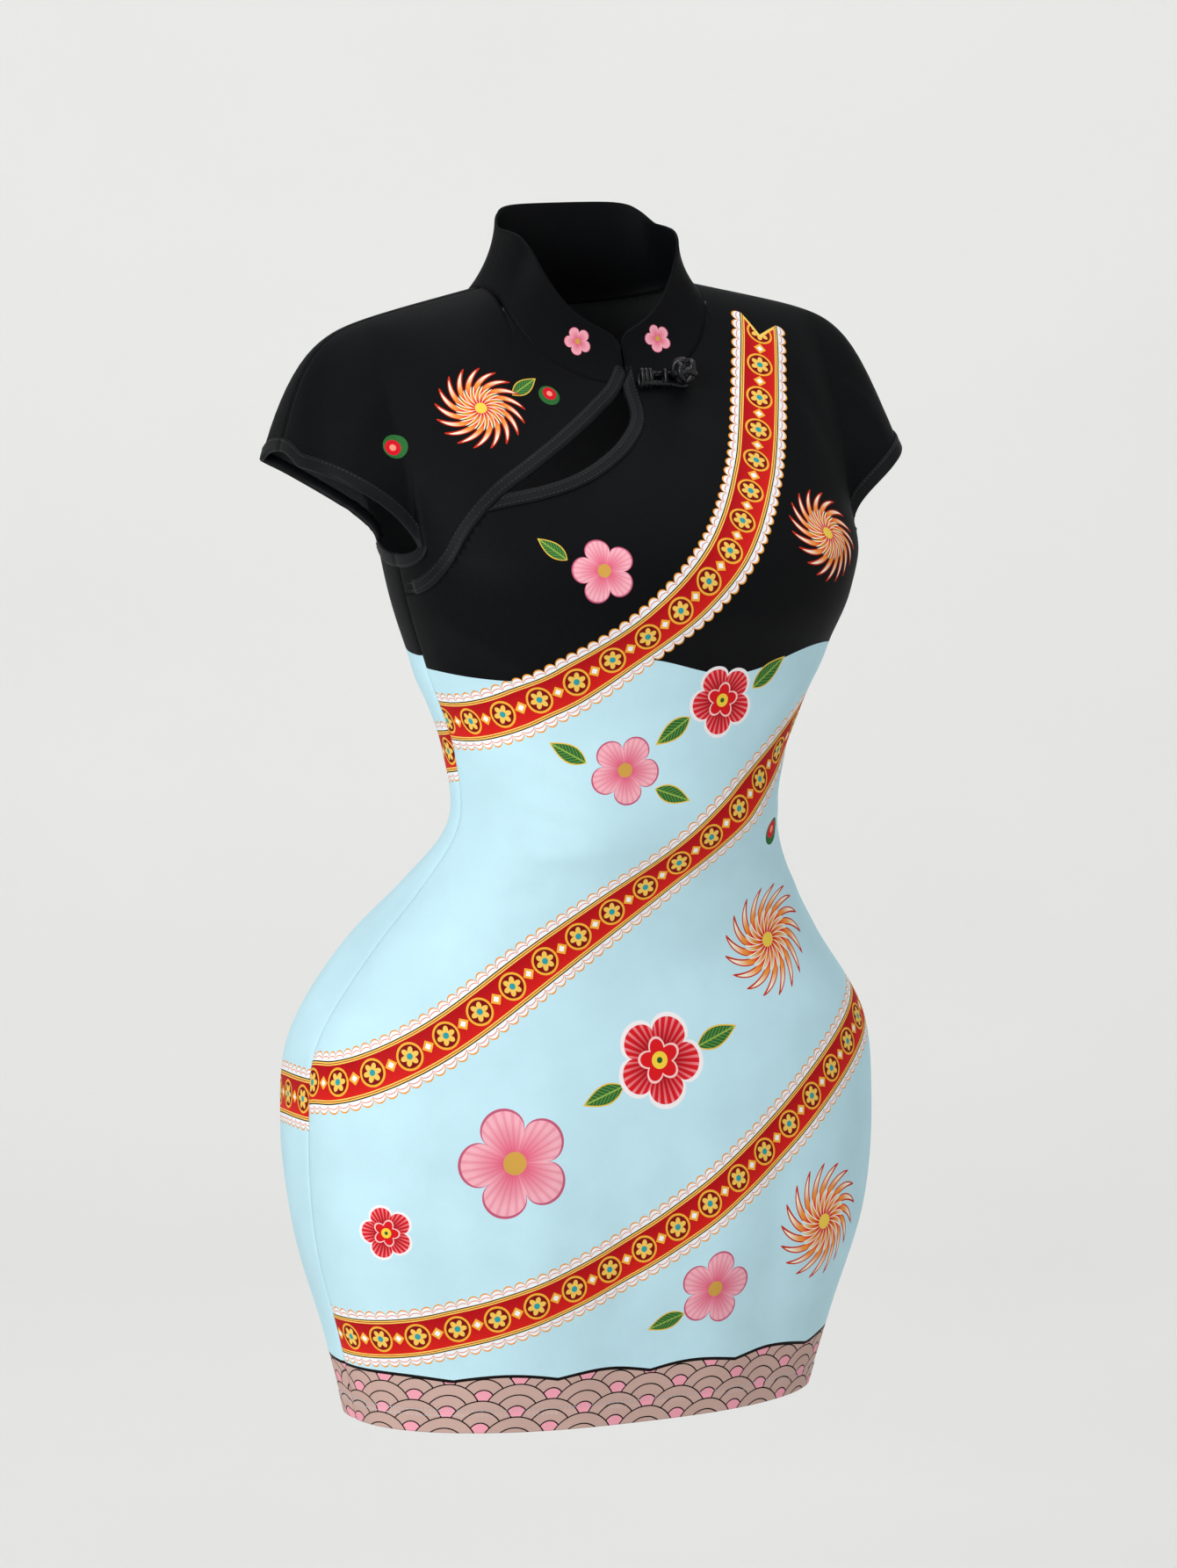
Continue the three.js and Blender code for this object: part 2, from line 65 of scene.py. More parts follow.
neck = {"half": 75, "frontDrop": 62, "backDrop": 12, "seamY": -6}
shoulder = {"tip": 220, "end": 219.2, "slope": 32, "round": 72, "roundPow": 9}
arm = {"x": 159, "dip": 6, "hemPow": 0.6, "tipZ": -108, "reach": 45,
       "frontDepth": 44, "backDepth": 58, "blend": 12, "fillT": 0.4}
arch = {"pow": 2.1, "frontStart": 0.25, "frontHollow": 2.2, "backHollow": 0.35,
        "sideX": 170, "leanPow": 1.43}
slit = {"z": -650, "open": 5.5, "pow": 1.2}
lapEdge = [(4, -52), (-10, -66), (-30, -78), (-60, -94), (-90, -110), (-116, -126),
           (-136, -146), (-149, -168), (-157, -187), (-165, -208)]
mainEdge = [(-2, -48), (-4, -64), (-7, -81), (-21, -94), (-43, -106), (-66, -115),
            (-90, -121), (-112, -125), (-134, -130), (-150, -135)]
collar = {"wall": 2, "frontTop": -27, "backTop": 52, "topPow": 2.4, "endCut": 10,
          "endRound": 0.07, "lean": 22, "leanPow": 2.2, "leanHeight": 52, "backLean": 0.65,
          "columns": 190, "rows": 16}
cloth = {
    "wall": 1.5,          # thickness of the knit with its turnings
    "seamGap": 0.3,       # between two panels at a seam
    "rowStep": 2.75,      # spacing of the mesh up the body
    "neckColumns": 24,    # columns from the middle to the neck point
    "shoulderColumns": 31,
    "underarmColumns": 10,
    "yokeRows": 54,
    "sleeveColumns": 24,
    "seamRoll": 0.8,      # how far a panel's edge rolls in at its seam
    "hemDepth": 14,       # height of the turned hem
    "hemPad": 0.5,        # how much the turning stands out
}


def smooth(u):  # u squared times (3 - 2u), between 0 and 1
    t = np.clip(u, 0, 1)
    return t * t * (3 - 2 * t)


def sectionAt(name, z):  # cubic through the rows, sloping on into the yoke at the top
    rows, column = sectionRows, sectionNames.index(name)
    heights, values = rows[:, 0], rows[:, column]
    step, rise = np.diff(heights), np.diff(values) / np.diff(heights)
    topSlope = 0.0
    if name == "seamY":
        topSlope = (neck["seamY"] - bust["seamY"]) * arch["leanPow"] / -bust["z"]
    if name == "front":
        topSlope = -arch["frontStart"] * bust["front"] / -bust["z"]
    inner = (rise[:-1] * step[1:] + rise[1:] * step[:-1]) / (step[1:] + step[:-1])
    slope = np.concatenate([[rise[0]], inner, [topSlope]])
    height = np.clip(np.asarray(z, float), hemZ, bust["z"])
    i = np.clip(np.searchsorted(heights, height, side="left") - 1, 0, len(step) - 1)
    t = (height - heights[i]) / step[i]
    return ((2 * t**3 - 3 * t**2 + 1) * values[i] + (t**3 - 2 * t**2 + t) * step[i] * slope[i]
            + (3 * t**2 - 2 * t**3) * values[i + 1] + (t**3 - t**2) * step[i] * slope[i + 1])


def ringPoint(z, angle, sideX, face):  # half a superellipse: sine across, cosine to the front
    pow2 = 2 / sectionAt("frontPow" if face < 0 else "backPow", z)
    x = sectionAt("half", z) * np.sin(angle) ** pow2
    reach = sectionAt("front" if face < 0 else "back", z)
    y = sectionAt("seamY", z) + face * reach * np.clip(np.cos(angle), 0, 1) ** pow2
    return np.stack(np.broadcast_arrays(sideX * x, y, z), -1)


def seamHeight(x):  # shoulder line that falls gently, then rounds off over the arm
    run = shoulder["tip"] - neck["half"]
    s = np.clip((x - neck["half"]) / run, 0, 1)
    within = shoulder["slope"] / run * (neck["half"] ** 2 - x**2) / (2 * neck["half"])
    beyond = -(shoulder["slope"] * s + shoulder["round"] * s ** shoulder["roundPow"])
    return np.where(x < neck["half"], within, beyond)


def bustDepth(x, face):  # depth of the bust ring at x
    power = bust["frontPow" if face < 0 else "backPow"]
    reach = bust["front" if face < 0 else "back"]
    return reach * (1 - np.minimum(1, x / bust["half"]) ** power) ** (1 / power)


def yokeDepth(x, t, face):  # the ring's depth, filling out to the sleeve's as it climbs
    wide = arm["frontDepth"] if face < 0 else arm["backDepth"]
    ring = bustDepth(x, face)
    start = bustDepth(arm["x"], face)
    foot = np.where(x > arm["x"], start + (wide - start) * smooth((x - arm["x"]) / arm["reach"]), ring)
    full = arm["blend"] * np.log(np.exp(ring / arm["blend"]) + np.exp(wide / arm["blend"]))
    return foot + (full - foot) * smooth(t / arm["fillT"])


def yokePoint(x, z, face):  # an arch from the bust line to the shoulder, hollow by t^2 (1 - t)
    x, z = np.broadcast_arrays(np.asarray(x, float), np.asarray(z, float))
    ax = np.abs(x)
    t = np.clip((z - bust["z"]) / (seamHeight(ax) - bust["z"]), 0, 1)
    hollow = arch["frontHollow" if face < 0 else "backHollow"] * (1 - smooth(ax / arch["sideX"]))
    start = arch["frontStart"] * t * (1 - t) ** 2 if face < 0 else 0
    profile = (1 - t ** arch["pow"]) ** (1 / arch["pow"]) - hollow * t * t * (1 - t) - start
    lean = neck["seamY"] + (bust["seamY"] - neck["seamY"]) * (1 - t) ** arch["leanPow"]
    return np.stack([x, lean + face * yokeDepth(ax, t, face) * profile, z], -1)


def onDress(x, z, face):  # point of the front or back at x and height z
    x, z = np.broadcast_arrays(np.asarray(x, float), np.asarray(z, float))
    power = sectionAt("frontPow" if face < 0 else "backPow", z)
    u = np.minimum(1, np.abs(x) / sectionAt("half", z))
    low = ringPoint(z, np.arcsin(u ** (power / 2)), np.where(x < 0, -1, 1), face)
    return np.where((z > bust["z"])[..., None], yokePoint(x, z, face), low)


def sleeveHem(x):
    w = np.maximum(0, (x - arm["x"]) / (shoulder["tip"] - arm["x"]))
    return bust["z"] + (arm["tipZ"] - bust["z"]) * w ** arm["hemPow"]


def neckHeight(x, face):  # quarter of an ellipse
    drop = neck["frontDrop"] if face < 0 else neck["backDrop"]
    return -drop * np.sqrt(np.clip(1 - (x / neck["half"]) ** 2, 0, 1))


def throughPoints(table, steps=14):  # centripetal spline through the rows of a table
    p = np.asarray(table, float)
    p = np.concatenate([[2 * p[0] - p[1]], p, [2 * p[-1] - p[-2]]])
    a, b, c, d = p[:-3], p[1:-2], p[2:-1], p[3:]
    gap = lambda q, r: np.sqrt(np.linalg.norm(r - q, axis=1))[:, None]
    g0, g1, g2 = gap(a, b), gap(b, c), gap(c, d)
    m1 = ((b - a) / g0 - (c - a) / (g0 + g1) + (c - b) / g1) * g1
    m2 = ((c - b) / g1 - (d - b) / (g1 + g2) + (d - c) / g2) * g1
    t = (np.arange(steps) / steps)[None, :, None]
    b, c, m1, m2 = (v[:, None, :] for v in (b, c, m1, m2))
    line = b + m1 * t + (3 * (c - b) - 2 * m1 - m2) * t**2 + (2 * (b - c) + m1 + m2) * t**3
    return np.concatenate([line.reshape(-1, p.shape[1]), p[-2:-1]])


def evenly(line, step):  # the same line with points a step apart
    far = np.concatenate([[0], np.cumsum(np.linalg.norm(np.diff(line, axis=0), axis=1))])
    at = np.linspace(0, far[-1], max(2, int(round(far[-1] / step)) + 1))
    return np.stack([np.interp(at, far, line[:, k]) for k in range(line.shape[1])], -1)


def unit(v):
    return v / np.maximum(np.linalg.norm(v, axis=-1, keepdims=True), 1e-12)


# meshes

def weld(points, triangles):  # one vertex for each place
    keys, first, back = np.unique(np.round(points * 200).astype(np.int64), axis=0,
                                  return_index=True, return_inverse=True)
    triangles = back.reshape(-1)[triangles]
    whole = ((triangles[:, 0] != triangles[:, 1]) & (triangles[:, 1] != triangles[:, 2])
             & (triangles[:, 2] != triangles[:, 0]))
    return points[first], triangles[whole], whole


def gridTriangles(rows, columns, flip=False, around=False):
    wide = columns if around else columns - 1
    r, c = np.meshgrid(np.arange(rows - 1), np.arange(wide), indexing="ij")
    n = (c + 1) % columns
    a, b, d, e = r * columns + c, r * columns + n, (r + 1) * columns + n, (r + 1) * columns + c
    tris = np.stack([np.stack([a, b, d], -1), np.stack([a, d, e], -1)], 2).reshape(-1, 3)
    return tris[:, ::-1] if flip else tris


def tubeTriangles(rows, across, closed=False):  # rings joined in a circle, or capped with fans
    tris = gridTriangles(rows, across, around=True)
    if closed:
        last = gridTriangles(2, across, around=True)
        last = np.where(last >= across, last - across, last + (rows - 1) * across)
        return np.concatenate([tris, last])
    fan = np.stack([np.zeros(across - 2, int), np.arange(2, across), np.arange(1, across - 1)], 1)
    return np.concatenate([tris, fan, fan[:, ::-1] + (rows - 1) * across])


def turnedOut(points, tris):  # faces turned outward, by the sign of the volume they enclose
    a, b, c = (points[tris[:, k]] for k in range(3))
    return tris[:, ::-1] if (np.cross(b, c) * a).sum() < 0 else tris


def vertexNormals(points, triangles):  # sum of the normals of the faces round each vertex
    a, b, c = (points[triangles[:, k]] for k in range(3))
    n = np.cross(b - a, c - a)
    out = np.zeros_like(points)
    for k in range(3):
        np.add.at(out, triangles[:, k], n)
    return unit(out)


def dressSurface():  # front and back of the whole dress as one welded surface
    k = np.linspace(0, 1, cloth["neckColumns"] + 1)
    neckX = neck["half"] * (0.6 * np.sin(k * np.pi / 2) + 0.4 * k)
    sideX = np.linspace(neck["half"], arm["x"], cloth["shoulderColumns"] + 1)[1:]
    columns = np.concatenate([neckX, sideX])
    hem = np.arange(0, cloth["hemDepth"] + 3) / (bust["z"] - hemZ)
    body = np.linspace(hem[-1], 1, int((1 - hem[-1]) * (bust["z"] - hemZ) / cloth["rowStep"]) + 1)
    rises = np.concatenate([hem, body[1:]])[:, None]
    s = np.linspace(0, 1, cloth["yokeRows"] + 1)
    climb = (np.sin(s * np.pi / 2) ** (1 / 1.05))[:, None]
    k = np.linspace(0, 1, cloth["sleeveColumns"] + 1)
    capX = (arm["x"] + (shoulder["end"] - arm["x"]) * (0.5 - 0.5 * np.cos(np.pi * k)))[None, :]
    parts, tris, faces, count = [], [], [], 0
    for face in (-1, 1):
        power = bust["frontPow" if face < 0 else "backPow"]
        angles = np.arcsin(np.minimum(1, columns / bust["half"]) ** (power / 2))
        low = angles[-1]
        k = np.linspace(0, 1, cloth["underarmColumns"] + 1)[1:]
        k = np.concatenate([k[:-1], [1 - 0.35 / cloth["underarmColumns"], 1]])
        angles = np.concatenate([angles, low + (np.pi / 2 - low) * k])[None, :]
        rim = bust["z"] - arm["dip"] * (1 - np.minimum(1, (np.pi / 2 - angles) / (np.pi / 2 - low)) ** 2)
        yokeX = columns[None, :]
        top = np.where(yokeX < neck["half"], neckHeight(yokeX, face), seamHeight(yokeX))
        hemLine = sleeveHem(capX)
        for sideX in (-1, 1):
            grids = [ringPoint(hemZ + (rim - hemZ) * rises, angles + 0 * rises, sideX, face),
                     yokePoint(sideX * yokeX + 0 * climb, bust["z"] + (top - bust["z"]) * climb, face),
                     yokePoint(sideX * capX + 0 * climb, hemLine + (seamHeight(capX) - hemLine) * climb, face)]
            for grid in grids:
                parts.append(grid.reshape(-1, 3))
                tris.append(gridTriangles(*grid.shape[:2], flip=face * sideX > 0) + count)
                faces.append(np.full(len(tris[-1]), face))
                count += len(parts[-1])
    points, triangles, whole = weld(np.concatenate(parts), np.concatenate(tris))
    return {"points": points, "triangles": triangles, "faces": np.concatenate(faces)[whole],
            "normals": vertexNormals(points, triangles)}


def cut(surface, value, snap=0.15):  # keeps what is positive, cut along the zero line
    value = np.where(np.abs(value) < snap, 0.0, value)
    points, normals, tris = surface["points"], surface["normals"], surface["triangles"]
    sign = np.sign(value)[tris]
    inside = (sign >= 0).all(1) & (sign > 0).any(1)
    mixed = (sign > 0).any(1) & (sign < 0).any(1)
    t, s = tris[mixed], sign[mixed]
    alone = np.where((s > 0).sum(1) == 1, 1, -1)     # the sign that one corner has by itself
    turn = np.argmax(s == alone[:, None], 1)
    order = (turn[:, None] + np.arange(3)) % 3
    t, s = np.take_along_axis(t, order, 1), np.take_along_axis(s, order, 1)
    low, high = np.minimum(t[:, :, None], t[:, None, :]), np.maximum(t[:, :, None], t[:, None, :])
    code = low * len(points) + high
    ab, ca = code[:, 0, 1], code[:, 0, 2]
    needed = np.unique(np.concatenate([ab, ca]))
    i, j = needed // len(points), needed % len(points)
    crossing = value[i] * value[j] < 0
    needed, i, j = needed[crossing], i[crossing], j[crossing]
    w = (value[i] / (value[i] - value[j]))[:, None]
    lookup = lambda keys: len(points) + np.searchsorted(needed, keys)
    newPoints = points[i] + (points[j] - points[i]) * w
    newNormals = unit(normals[i] + (normals[j] - normals[i]) * w)
    positive, negative = s[:, 0] > 0, s[:, 0] < 0
    one = positive & (s[:, 1] < 0) & (s[:, 2] < 0)
    left = positive & (s[:, 1] < 0) & (s[:, 2] == 0)
    right = positive & (s[:, 1] == 0) & (s[:, 2] < 0)
    two = negative & (s[:, 1] > 0) & (s[:, 2] > 0)
    lone = negative & ~two                            # one corner below, one on the line
    pick = lambda m, a, b, c: np.stack([a[m], b[m], c[m]], 1)
    x01, x02 = lookup(ab), lookup(ca)
    out = [tris[inside], pick(one, t[:, 0], x01, x02), pick(left, t[:, 0], x01, t[:, 2]),
           pick(right, t[:, 0], t[:, 1], x02), pick(two, t[:, 1], t[:, 2], x02),
           pick(two, t[:, 1], x02, x01)]
    upper = lone & (s[:, 1] > 0)
    lower = lone & (s[:, 2] > 0)
    out += [pick(upper, x01, t[:, 1], t[:, 2]), pick(lower, x02, t[:, 1], t[:, 2])]
    which = [np.flatnonzero(inside)] + [np.flatnonzero(mixed)[m] for m in
                                        (one, left, right, two, two, upper, lower)]
    return {"points": np.concatenate([points, newPoints]),
            "normals": np.concatenate([normals, newNormals]),
            "triangles": np.concatenate(out), "faces": surface["faces"][np.concatenate(which)]}


def trimmed(surface):  # drops the vertices that no triangle uses
    used, back = np.unique(surface["triangles"], return_inverse=True)
    return {"points": surface["points"][used], "normals": surface["normals"][used],
            "triangles": back.reshape(-1, 3), "faces": surface["faces"]}


def nearLine(points, line):  # nearest place on a line of points: segment, share of it, distance
    best = np.full(len(points), np.inf)
    segment, share = np.zeros(len(points), int), np.zeros(len(points))
    along = np.diff(line, axis=0)
    length2 = np.maximum((along**2).sum(1), 1e-9)
    for start in range(0, len(points), 4000):
        p = points[start:start + 4000]
        t = (p @ along.T - (line[:-1] * along).sum(1)) / length2
        t = np.clip(t, 0, 1)
        gap = np.zeros_like(t)
        for k in range(3):
            gap += (p[:, k:k + 1] - line[:-1, k] - t * along[:, k]) ** 2
        i = gap.argmin(1)
        at = np.arange(len(p))
        segment[start:start + 4000], share[start:start + 4000] = i, t[at, i]
        best[start:start + 4000] = np.sqrt(gap[at, i])
    return segment, share, best


def edgeDistance(points, table, face=-1):  # distance to a line drawn in front view, + on its left
    flat = throughPoints(table)
    segment, share, gap = nearLine(points, onDress(flat[:, 0], flat[:, 1], face))
    step = flat[segment + 1] - flat[segment]
    side = step[:, 0] * (points[:, 2] - flat[segment, 1]) - step[:, 1] * (points[:, 0] - flat[segment, 0])
    return np.where(side < 0, gap, -gap)


def makePiece(name, points, polygons, materials, slots=None, attributes=None, shade=True):
    mesh = bpy.data.meshes.new(name)
    polygons = np.asarray(polygons)
    mesh.vertices.add(len(points))
    mesh.vertices.foreach_set("co", (points * 0.001).astype(np.float32).ravel())
    mesh.loops.add(polygons.size)
    mesh.loops.foreach_set("vertex_index", polygons.astype(np.int32).ravel())
    mesh.polygons.add(len(polygons))
    mesh.polygons.foreach_set("loop_start", np.arange(0, polygons.size, polygons.shape[1], dtype=np.int32))
    mesh.update(calc_edges=True)
    for material in materials:
        mesh.materials.append(material)
    if slots is not None:
        mesh.polygons.foreach_set("material_index", np.asarray(slots, np.int32))
    mesh.polygons.foreach_set("use_smooth", np.full(len(polygons), shade))
    for key, values in (attributes or {}).items():
        layer = mesh.attributes.new(key, "FLOAT_VECTOR", "POINT")
        layer.data.foreach_set("vector", values.astype(np.float32).ravel())
    mesh.validate()
    piece = bpy.data.objects.new(name, mesh)
    bpy.context.scene.collection.objects.link(piece)
    return piece


def borderOf(triangles):  # directed edges that only one triangle has
    edges = np.concatenate([triangles[:, [0, 1]], triangles[:, [1, 2]], triangles[:, [2, 0]]])
    size = triangles.max() + 1
    code, twin = edges[:, 0] * size + edges[:, 1], edges[:, 1] * size + edges[:, 0]
    return edges[~np.isin(code, twin)]


# folds and wear of the cloth

# Soft drag lines and hollows: face, from x and z, to x and z, half width, height (- is a hollow).
creases = [
    (-1, -150, -200, -66, -262, 10, 1.3), (-1, -140, -228, -58, -296, 9, -1.1),
    (-1, -118, -292, -34, -322, 8, 1.1), (-1, -113, -330, -48, -344, 7, -0.9),
    (-1, -112, -362, -40, -358, 7, 0.9), (-1, 138, -236, 62, -286, 10, 1.1),
    (-1, 118, -296, 44, -322, 9, -1.0), (-1, 112, -342, 36, -348, 8, 1.0),
    (-1, -134, -398, -70, -384, 9, -0.8), (-1, 140, -404, 60, -378, 9, 0.8),
    (-1, -78, -470, -92, -715, 20, 1.3), (-1, -24, -520, -30, -742, 18, -1.2),
    (-1, 36, -500, 44, -742, 20, 1.2), (-1, 96, -540, 88, -742, 16, -1.2),
    (-1, 150, -560, 128, -742, 15, 1.1), (-1, -150, -560, -128, -742, 15, -1.0),
    (-1, 118, -50, 146, -118, 11, -0.9), (-1, -118, -50, -146, -118, 10, -0.8),
    (-1, 92, -150, 150, -176, 10, 0.9), (-1, 176, -64, 196, -112, 8, 0.8),
    (-1, -176, -64, -196, -112, 8, 0.7), (-1, 30, -84, 86, -128, 12, 0.6),
    (1, -96, -318, 92, -326, 9, 1.5), (1, -84, -340, 80, -346, 8, -1.4),
    (1, -100, -362, 96, -360, 9, 1.3), (1, -60, -384, 104, -378, 8, -1.0),
    (1, -140, -240, -70, -300, 10, 1.0), (1, 136, -238, 64, -304, 10, -1.0),
    (1, -70, -500, -84, -742, 20, 1.4), (1, 10, -520, 6, -742, 20, -1.3),
    (1, 84, -500, 98, -742, 19, 1.3), (1, -120, -60, -150, -130, 12, 0.9),
    (1, 122, -64, 152, -130, 12, -0.9), (1, -60, -90, 60, -96, 12, 0.5),
]


def reliefOf(points, faceOf):  # each crease: a bell curve across, dying away at its ends
    height = 0.35 * np.sin(points[:, 0] / 31 + points[:, 2] / 47) * np.sin(points[:, 2] / 39 - points[:, 0] / 73)
    for face, x0, z0, x1, z1, wide, lift in creases:
        k = np.linspace(0, 1, 16)
        sway = 3 * np.sin(k * 5 + x0 * 0.1)
        line = onDress(x0 + (x1 - x0) * k + sway, z0 + (z1 - z0) * k + sway * 0.5, face)
        near = (faceOf == face) & (np.abs(points - line.mean(0)).max(1) < 190)
        segment, share, gap = nearLine(points[near], line)
        along = (segment + share) / (len(k) - 1)
        height[near] += 1.5 * lift * np.exp(-((gap / wide) ** 2)) * np.sin(np.pi * np.clip(along, 0, 1)) ** 0.7
    return height


def clothLift(points, faceOf, seams=True):  # relief, the turned hem, and the roll at the seams
    lift = reliefOf(points, faceOf)
    up = points[:, 2] - hemZ
    lift += cloth["hemPad"] * (1 - smooth((up - cloth["hemDepth"] + 1) / 2))
    lift -= 0.55 * np.exp(-(((up - cloth["hemDepth"]) / 1.3) ** 2))
    if seams:
        ax = np.abs(points[:, 0])
        toSide = np.abs(points[:, 1] - sectionAt("seamY", points[:, 2]))
        toSide = np.where(points[:, 2] < bust["z"] + 1, toSide, 99)
        toTop = np.where((points[:, 2] > bust["z"]) & (ax >= neck["half"]), np.abs(points[:, 1] - neck["seamY"]), 99)
        lift -= cloth["seamRoll"] * np.exp(-((np.minimum(toSide, toTop) / 2.0) ** 2))
    return lift


skin = dressSurface()
skinFace = np.zeros(len(skin["points"]))
skinFace[skin["triangles"].ravel()] = np.repeat(skin["faces"], 3)
laid = skin["points"] + skin["normals"] * clothLift(skin["points"], skinFace)[:, None]
print("dress surface:", len(skin["points"]), "points")


def ontoCloth(points):  # nearest place on the worn cloth and its normal, blended over 4 points
    points = np.atleast_2d(points)
    low, high = points.min(0) - 12, points.max(0) + 12
    near = ((laid > low) & (laid < high)).all(1)
    place, normal = laid[near], skin["normals"][near]
    out, up = np.empty_like(points), np.empty_like(points)
    for start in range(0, len(points), 400):
        p = points[start:start + 400]
        gap = ((p**2).sum(1)[:, None] - 2 * p @ place.T + (place**2).sum(1)).clip(0)
        four = np.argpartition(gap, 4, axis=1)[:, :4]
        w = 1 / (np.take_along_axis(gap, four, 1) + 0.4)
        n = unit((normal[four] * w[..., None]).sum(1))
        drop = ((p[:, None] - place[four]) * normal[four]).sum(-1)
        out[start:start + 400] = p - n * ((drop * w).sum(1) / w.sum(1))[:, None]
        up[start:start + 400] = n
    return out, up


# print: where each motif lies

# The cloth is printed with a design of our own: brocade sashes that wind slantwise round the
# dress from shoulder to hem, flowers strewn between them, and a border of wave scales at the hem.
# Sashes: panel, half width, then x and z along the middle.
sashes = [
    ("front", 13.5, [(112, -24), (70, -110), (10, -180), (-60, -236), (-150, -290)]),
    ("front", 13.5, [(170, -230), (90, -300), (20, -360), (-60, -420), (-140, -476), (-220, -522)]),
    ("front", 13.5, [(220, -458), (140, -520), (60, -580), (-30, -632), (-120, -668), (-220, -692)]),
    ("back", 13.5, [(-112, -24), (-70, -100), (0, -160), (80, -206), (170, -238)]),
    ("back", 13.5, [(-150, -280), (-60, -330), (20, -376), (110, -420), (220, -462)]),
    ("back", 13.5, [(-220, -520), (-110, -566), (0, -612), (110, -656), (220, -698)]),
]
# Blooms: panel, kind (1 peony, 2 chrysanthemum, 4 bud, 5 pink blossom), x, z, radius, turn.
blooms = [
    ("front", 2, 110, -158, 32, 20), ("front", 5, -64, -172, 22, 10), ("front", 1, 30, -262, 26, 10),
    ("front", 5, -38, -304, 24, 40), ("front", 2, 92, -430, 38, 0), ("front", 1, 0, -500, 34, 30),
    ("front", 5, -104, -560, 38, 15), ("front", 1, -178, -606, 20, 0), ("front", 2, 132, -622, 40, 50),
    ("front", 5, 42, -656, 27, 60), ("front", 4, 88, -356, 10, 130),
    ("lap", 2, -112, -72, 30, 20), ("lap", 4, -62, -66, 8, 60), ("lap", 4, -166, -96, 9, 200),
    ("collar", 5, -36, -34, 10, 10), ("collar", 5, 36, -34, 10, 20),
    ("back", 1, 76, -92, 28, 10), ("back", 2, -60, -218, 36, 0), ("back", 5, 54, -296, 26, 30),
    ("back", 5, -92, -438, 34, 0), ("back", 1, 6, -490, 32, 40), ("back", 2, 110, -540, 42, 10),
    ("back", 1, -122, -640, 30, 20), ("back", 5, -30, -668, 20, 50), ("back", 4, 24, -226, 10, 10),
]
# Leaves: panel, x, z, half length, turn.
leaves = [
    ("front", 66, -246, 16, 40), ("front", -6, -280, 15, 215), ("front", 44, -488, 17, 20),
    ("front", -42, -520, 16, 200), ("front", -74, -292, 14, 150), ("front", -4, -322, 14, -20),
    ("front", 8, -676, 14, 200), ("front", -94, -158, 12, 140), ("lap", -78, -60, 12, 30),
    ("back", 112, -84, 15, 20), ("back", 42, -112, 14, 220), ("back", 46, -478, 16, 20),
    ("back", -36, -506, 16, 200), ("back", -84, -630, 15, 10),
]
waveBorder = {"top": -708, "sway": 4, "turn": 21}


def frameAt(x, z, face):  # a place on the dress or its collar, with its right-hand and upward directions
    foot = min(z, neckHeight(x, face) - 0.5) if abs(x) < neck["half"] else z
    here = onDress(x, foot, face) + np.array([0, 0, z - foot])
    if z > foot:                         # on the collar, which leans in
        climb = min(1, (z - foot) / 42)
        outward = unit(np.array([x / neck["half"], face * math.sqrt(1 - (x / neck["half"]) ** 2), 0]))
        here = here - outward * 0.8 * collar["lean"] * (1 - (1 - climb) ** collar["leanPow"])
    z = foot
    across = unit(onDress(x + 1, z, face) - onDress(x - 1, z, face))
    rising = unit(onDress(x, z + 1, face) - onDress(x, z - 1, face))
    up = unit(rising - (rising @ across) * across)
    return here, across * (1 if face < 0 else -1), up


def sashLine(table, face):  # laid on the cloth; an end at a side seam, sleeve tip or hem runs off it
    flat = throughPoints(table, 30)
    over = (flat[:, 1] < bust["z"]) & (np.abs(flat[:, 0]) > sectionAt("half", flat[:, 1]))
    over |= (np.abs(flat[:, 0]) > 213) | (flat[:, 1] < hemZ)
    kept = ~over
    kept[1:] |= ~over[:-1]
    kept[:-1] |= ~over[1:]
    line = evenly(onDress(*flat[kept].T, face), 2)
    first, last = (60 * unit(line[a] - line[b]) for a, b in ((0, 2), (-1, -3)))
    if over[0]:
        line = np.concatenate([[line[0] + first], line])
    if over[-1]:
        line = np.concatenate([line, [line[-1] + last]])
    return evenly(line, 3)


def stampOn(points, rows, reach):  # coordinates over the radius of the nearest motif, and its kind
    out = np.full((len(points), 3), 9.0)
    out[:, 2] = 0
    if not rows:
        return out
    outside = np.stack([np.linalg.norm(points - row[0], axis=1) - row[3] for row in rows], 1)
    first = outside.argmin(1)
    ordered = np.sort(np.concatenate([outside, np.full((len(points), 1), 999)], 1), axis=1)
    for i, (here, right, up, radius, turn, kind) in enumerate(rows):
        mine = first == i
        away = points[mine] - here
        u, v = away @ right, away @ up
        stretch = np.linalg.norm(away, axis=1) / np.maximum(np.hypot(u, v), 1e-3) / radius
        c, s = math.cos(math.radians(turn)), math.sin(math.radians(turn))
        clear = (ordered[mine, 0] < reach) & (ordered[mine, 1] - ordered[mine, 0] > 9)
        out[mine] = np.stack([(u * c + v * s) * stretch, (v * c - u * s) * stretch, kind * clear], 1)
    return out


